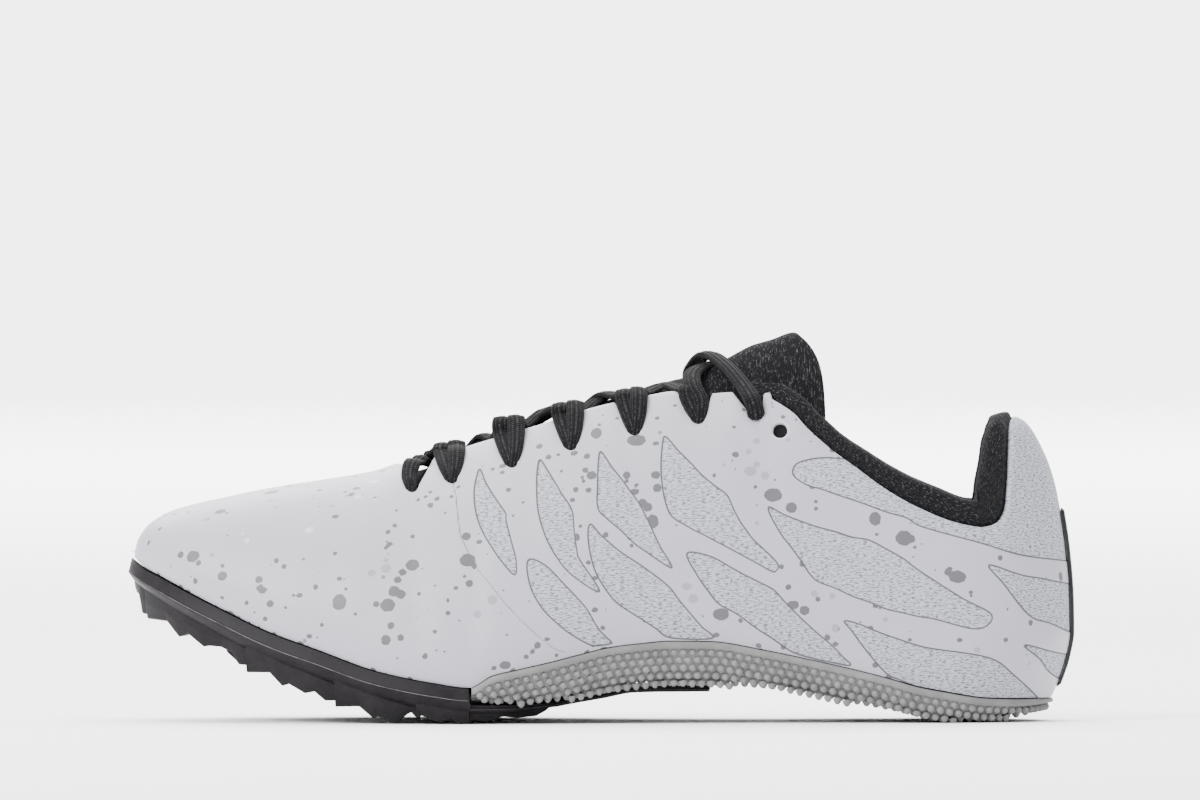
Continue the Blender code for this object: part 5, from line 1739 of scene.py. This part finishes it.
def back_place(y, z):
    """Place along the shoe of the upper's back, at one height and one place across."""
    low = np.full(np.shape(y), 0.9)
    high = np.full(np.shape(y), 1.0)
    for _ in range(36):
        share = 0.5 * (low + high)
        up = np.clip((z - seat_z(share)) / (crown_z(share) - seat_z(share)), 0.0, 1.0)
        angle = np.arcsin(up ** (roundness(share) / 2.0))
        place = dome(share, angle, np.where(y < 0.0, -1.0, 1.0))
        beyond = np.abs(place[..., 1]) < np.abs(y)
        high = np.where(beyond, share, high)
        low = np.where(beyond, low, share)
    return place[..., 0]


def build_strip(plastic):
    """Narrow black strip up the back of the heel, with round corners."""
    low = float(seat_z(1.0)) + STRIP_FOOT
    z = np.linspace(low, STRIP_TOP, 61)[:, None]
    v = np.linspace(-1.0, 1.0, 25)[None, :]
    end = np.minimum(np.minimum(z - low, STRIP_TOP - z) / STRIP_CORNER, 1.0)
    half = STRIP_WIDTH / 2.0 - STRIP_CORNER * (1.0 - np.sqrt(1.0 - (1.0 - end) ** 2))
    y = v * half
    z = z + 0.0 * y
    x = back_place(y, z)
    edge = np.minimum((1.0 - np.abs(v)) * half, np.minimum(z - low, STRIP_TOP - z))
    thick = STRIP_THICK * np.sqrt(1.0 - np.clip(1.0 - edge / 0.5, 0.0, 1.0) ** 2)
    outer = np.stack([x + SEAT_GAP + thick, y, z], axis=-1)
    inner = np.stack([x + SEAT_GAP, y, z], axis=-1)
    grid = np.concatenate([outer, inner[:, ::-1], outer[:, :1]], axis=1)
    faces = grid_faces(grid.shape[0], grid.shape[1], 0, True)
    piece = make_piece("heel_strip_outer", grid, faces, [plastic], None,
                       {"line": np.zeros(grid.shape[0] * grid.shape[1])})
    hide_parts("heel_strip")
    return piece


def main():
    film = film_material()
    lining = knit_material("lining_knit", *LINING_COLOURS, 1.4)
    band = knit_material("collar_knit", *COLLAR_COLOURS, 1.0, "weave")
    knit = knit_material("tongue_knit", *TONGUE_COLOURS, 0.9, "weave")
    lace = lace_material("lace_weave", *LACE_COLOURS)
    plate = plastic_material("plate_plastic", *PLATE_COLOURS, 0.5, line=True)
    rubber = plastic_material("grey_rubber", *RUBBER_COLOURS, 0.62)
    cloth = knit_material("insole_cloth", *INSOLE_COLOURS, 1.0)
    strip = plastic_material("strip_plastic", *STRIP_COLOURS, 0.5)
    build_upper(film, lining)
    build_collar(band)
    build_tongue(knit)
    build_laces(lace)
    build_outsole(rubber)
    build_plate(plate)
    build_insole(cloth)
    build_strip(strip)
    plain = {
        "collar_lining": knit, "tongue": knit, "insole": cloth, "forefoot_plate": plate,
        "heel_outsole": rubber, "heel_strip": strip,
    }
    for name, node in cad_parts.items():
        look = plain.get(name, lace)
        node.data.materials.clear()
        node.data.materials.append(look)


def add_light(name, place, aim, size, power, colour=(1.0, 1.0, 1.0)):
    """Soft square lamp, placed and aimed in metres."""
    data = bpy.data.lights.new(name, "AREA")
    data.shape = "SQUARE"
    data.size = size
    data.energy = power
    data.color = colour
    lamp = bpy.data.objects.new(name, data)
    lamp.location = place
    lamp.rotation_euler = (Vector(aim) - Vector(place)).to_track_quat("-Z", "Y").to_euler()
    bpy.context.scene.collection.objects.link(lamp)


def build_stage():
    """Pale floor that curves up into a backdrop, soft light and the camera."""
    start = BACKDROP_PLACE - FLOOR_CURVE
    profile = [(-BACKDROP_PLACE - 2.0, 0.0), (start, 0.0)]
    for k in range(1, 17):
        turn = math.pi / 2.0 * k / 16.0
        profile.append((start + FLOOR_CURVE * math.sin(turn), FLOOR_CURVE * (1.0 - math.cos(turn))))
    profile.append((BACKDROP_PLACE, BACKDROP_TOP))
    points = []
    for y, z in profile:
        points.append((-FLOOR_HALF_WIDTH, y, z))
        points.append((FLOOR_HALF_WIDTH, y, z))
    faces = [(2 * i, 2 * i + 1, 2 * i + 3, 2 * i + 2) for i in range(len(profile) - 1)]
    mesh = bpy.data.meshes.new("floor")
    mesh.from_pydata(points, [], faces)
    mesh.shade_smooth()
    made = Nodes("pale_floor")
    made.set(Base_Color=FLOOR_COLOUR, Roughness=0.9)
    mesh.materials.append(made.material)
    floor = bpy.data.objects.new("floor", mesh)
    bpy.context.scene.collection.objects.link(floor)

    add_light("key_light", (-1.5, -1.3, 1.5), (-0.05, 0.0, 0.05), 1.2, 104.0)
    add_light("fill_light", (1.3, -1.2, 0.9), (0.0, 0.0, 0.06), 1.4, 4.0)
    add_light("backdrop_light", (0.0, 6.5, 4.2), (0.0, 7.2, 0.0), 8.0, 2300.0)
    add_light("top_light", (0.0, 0.3, 1.8), (0.0, 0.0, 0.0), 1.6, 60.0)
    world = bpy.data.worlds.new("studio")
    world.use_nodes = True
    world.node_tree.nodes["Background"].inputs["Color"].default_value = (1.0, 1.0, 1.0, 1.0)
    world.node_tree.nodes["Background"].inputs["Strength"].default_value = 1.05
    bpy.context.scene.world = world

    data = bpy.data.cameras.new("camera")
    data.sensor_width = CAMERA_SENSOR
    data.lens = CAMERA_SENSOR * CAMERA_DISTANCE / (PHOTO_WIDTH * PIXEL)
    data.clip_start = 0.1
    data.clip_end = 50.0
    camera = bpy.data.objects.new("camera", data)
    aim = from_photo((PHOTO_WIDTH / 2.0, PHOTO_HEIGHT / 2.0)) * MM
    rise = math.radians(CAMERA_RISE)
    distance = CAMERA_DISTANCE * MM
    target = Vector((aim[0], 0.0, aim[1]))
    camera.location = target + Vector((0.0, -distance * math.cos(rise), distance * math.sin(rise)))
    camera.rotation_euler = (target - camera.location).to_track_quat("-Z", "Y").to_euler()
    bpy.context.scene.collection.objects.link(camera)
    bpy.context.scene.camera = camera


build_stage()
main()
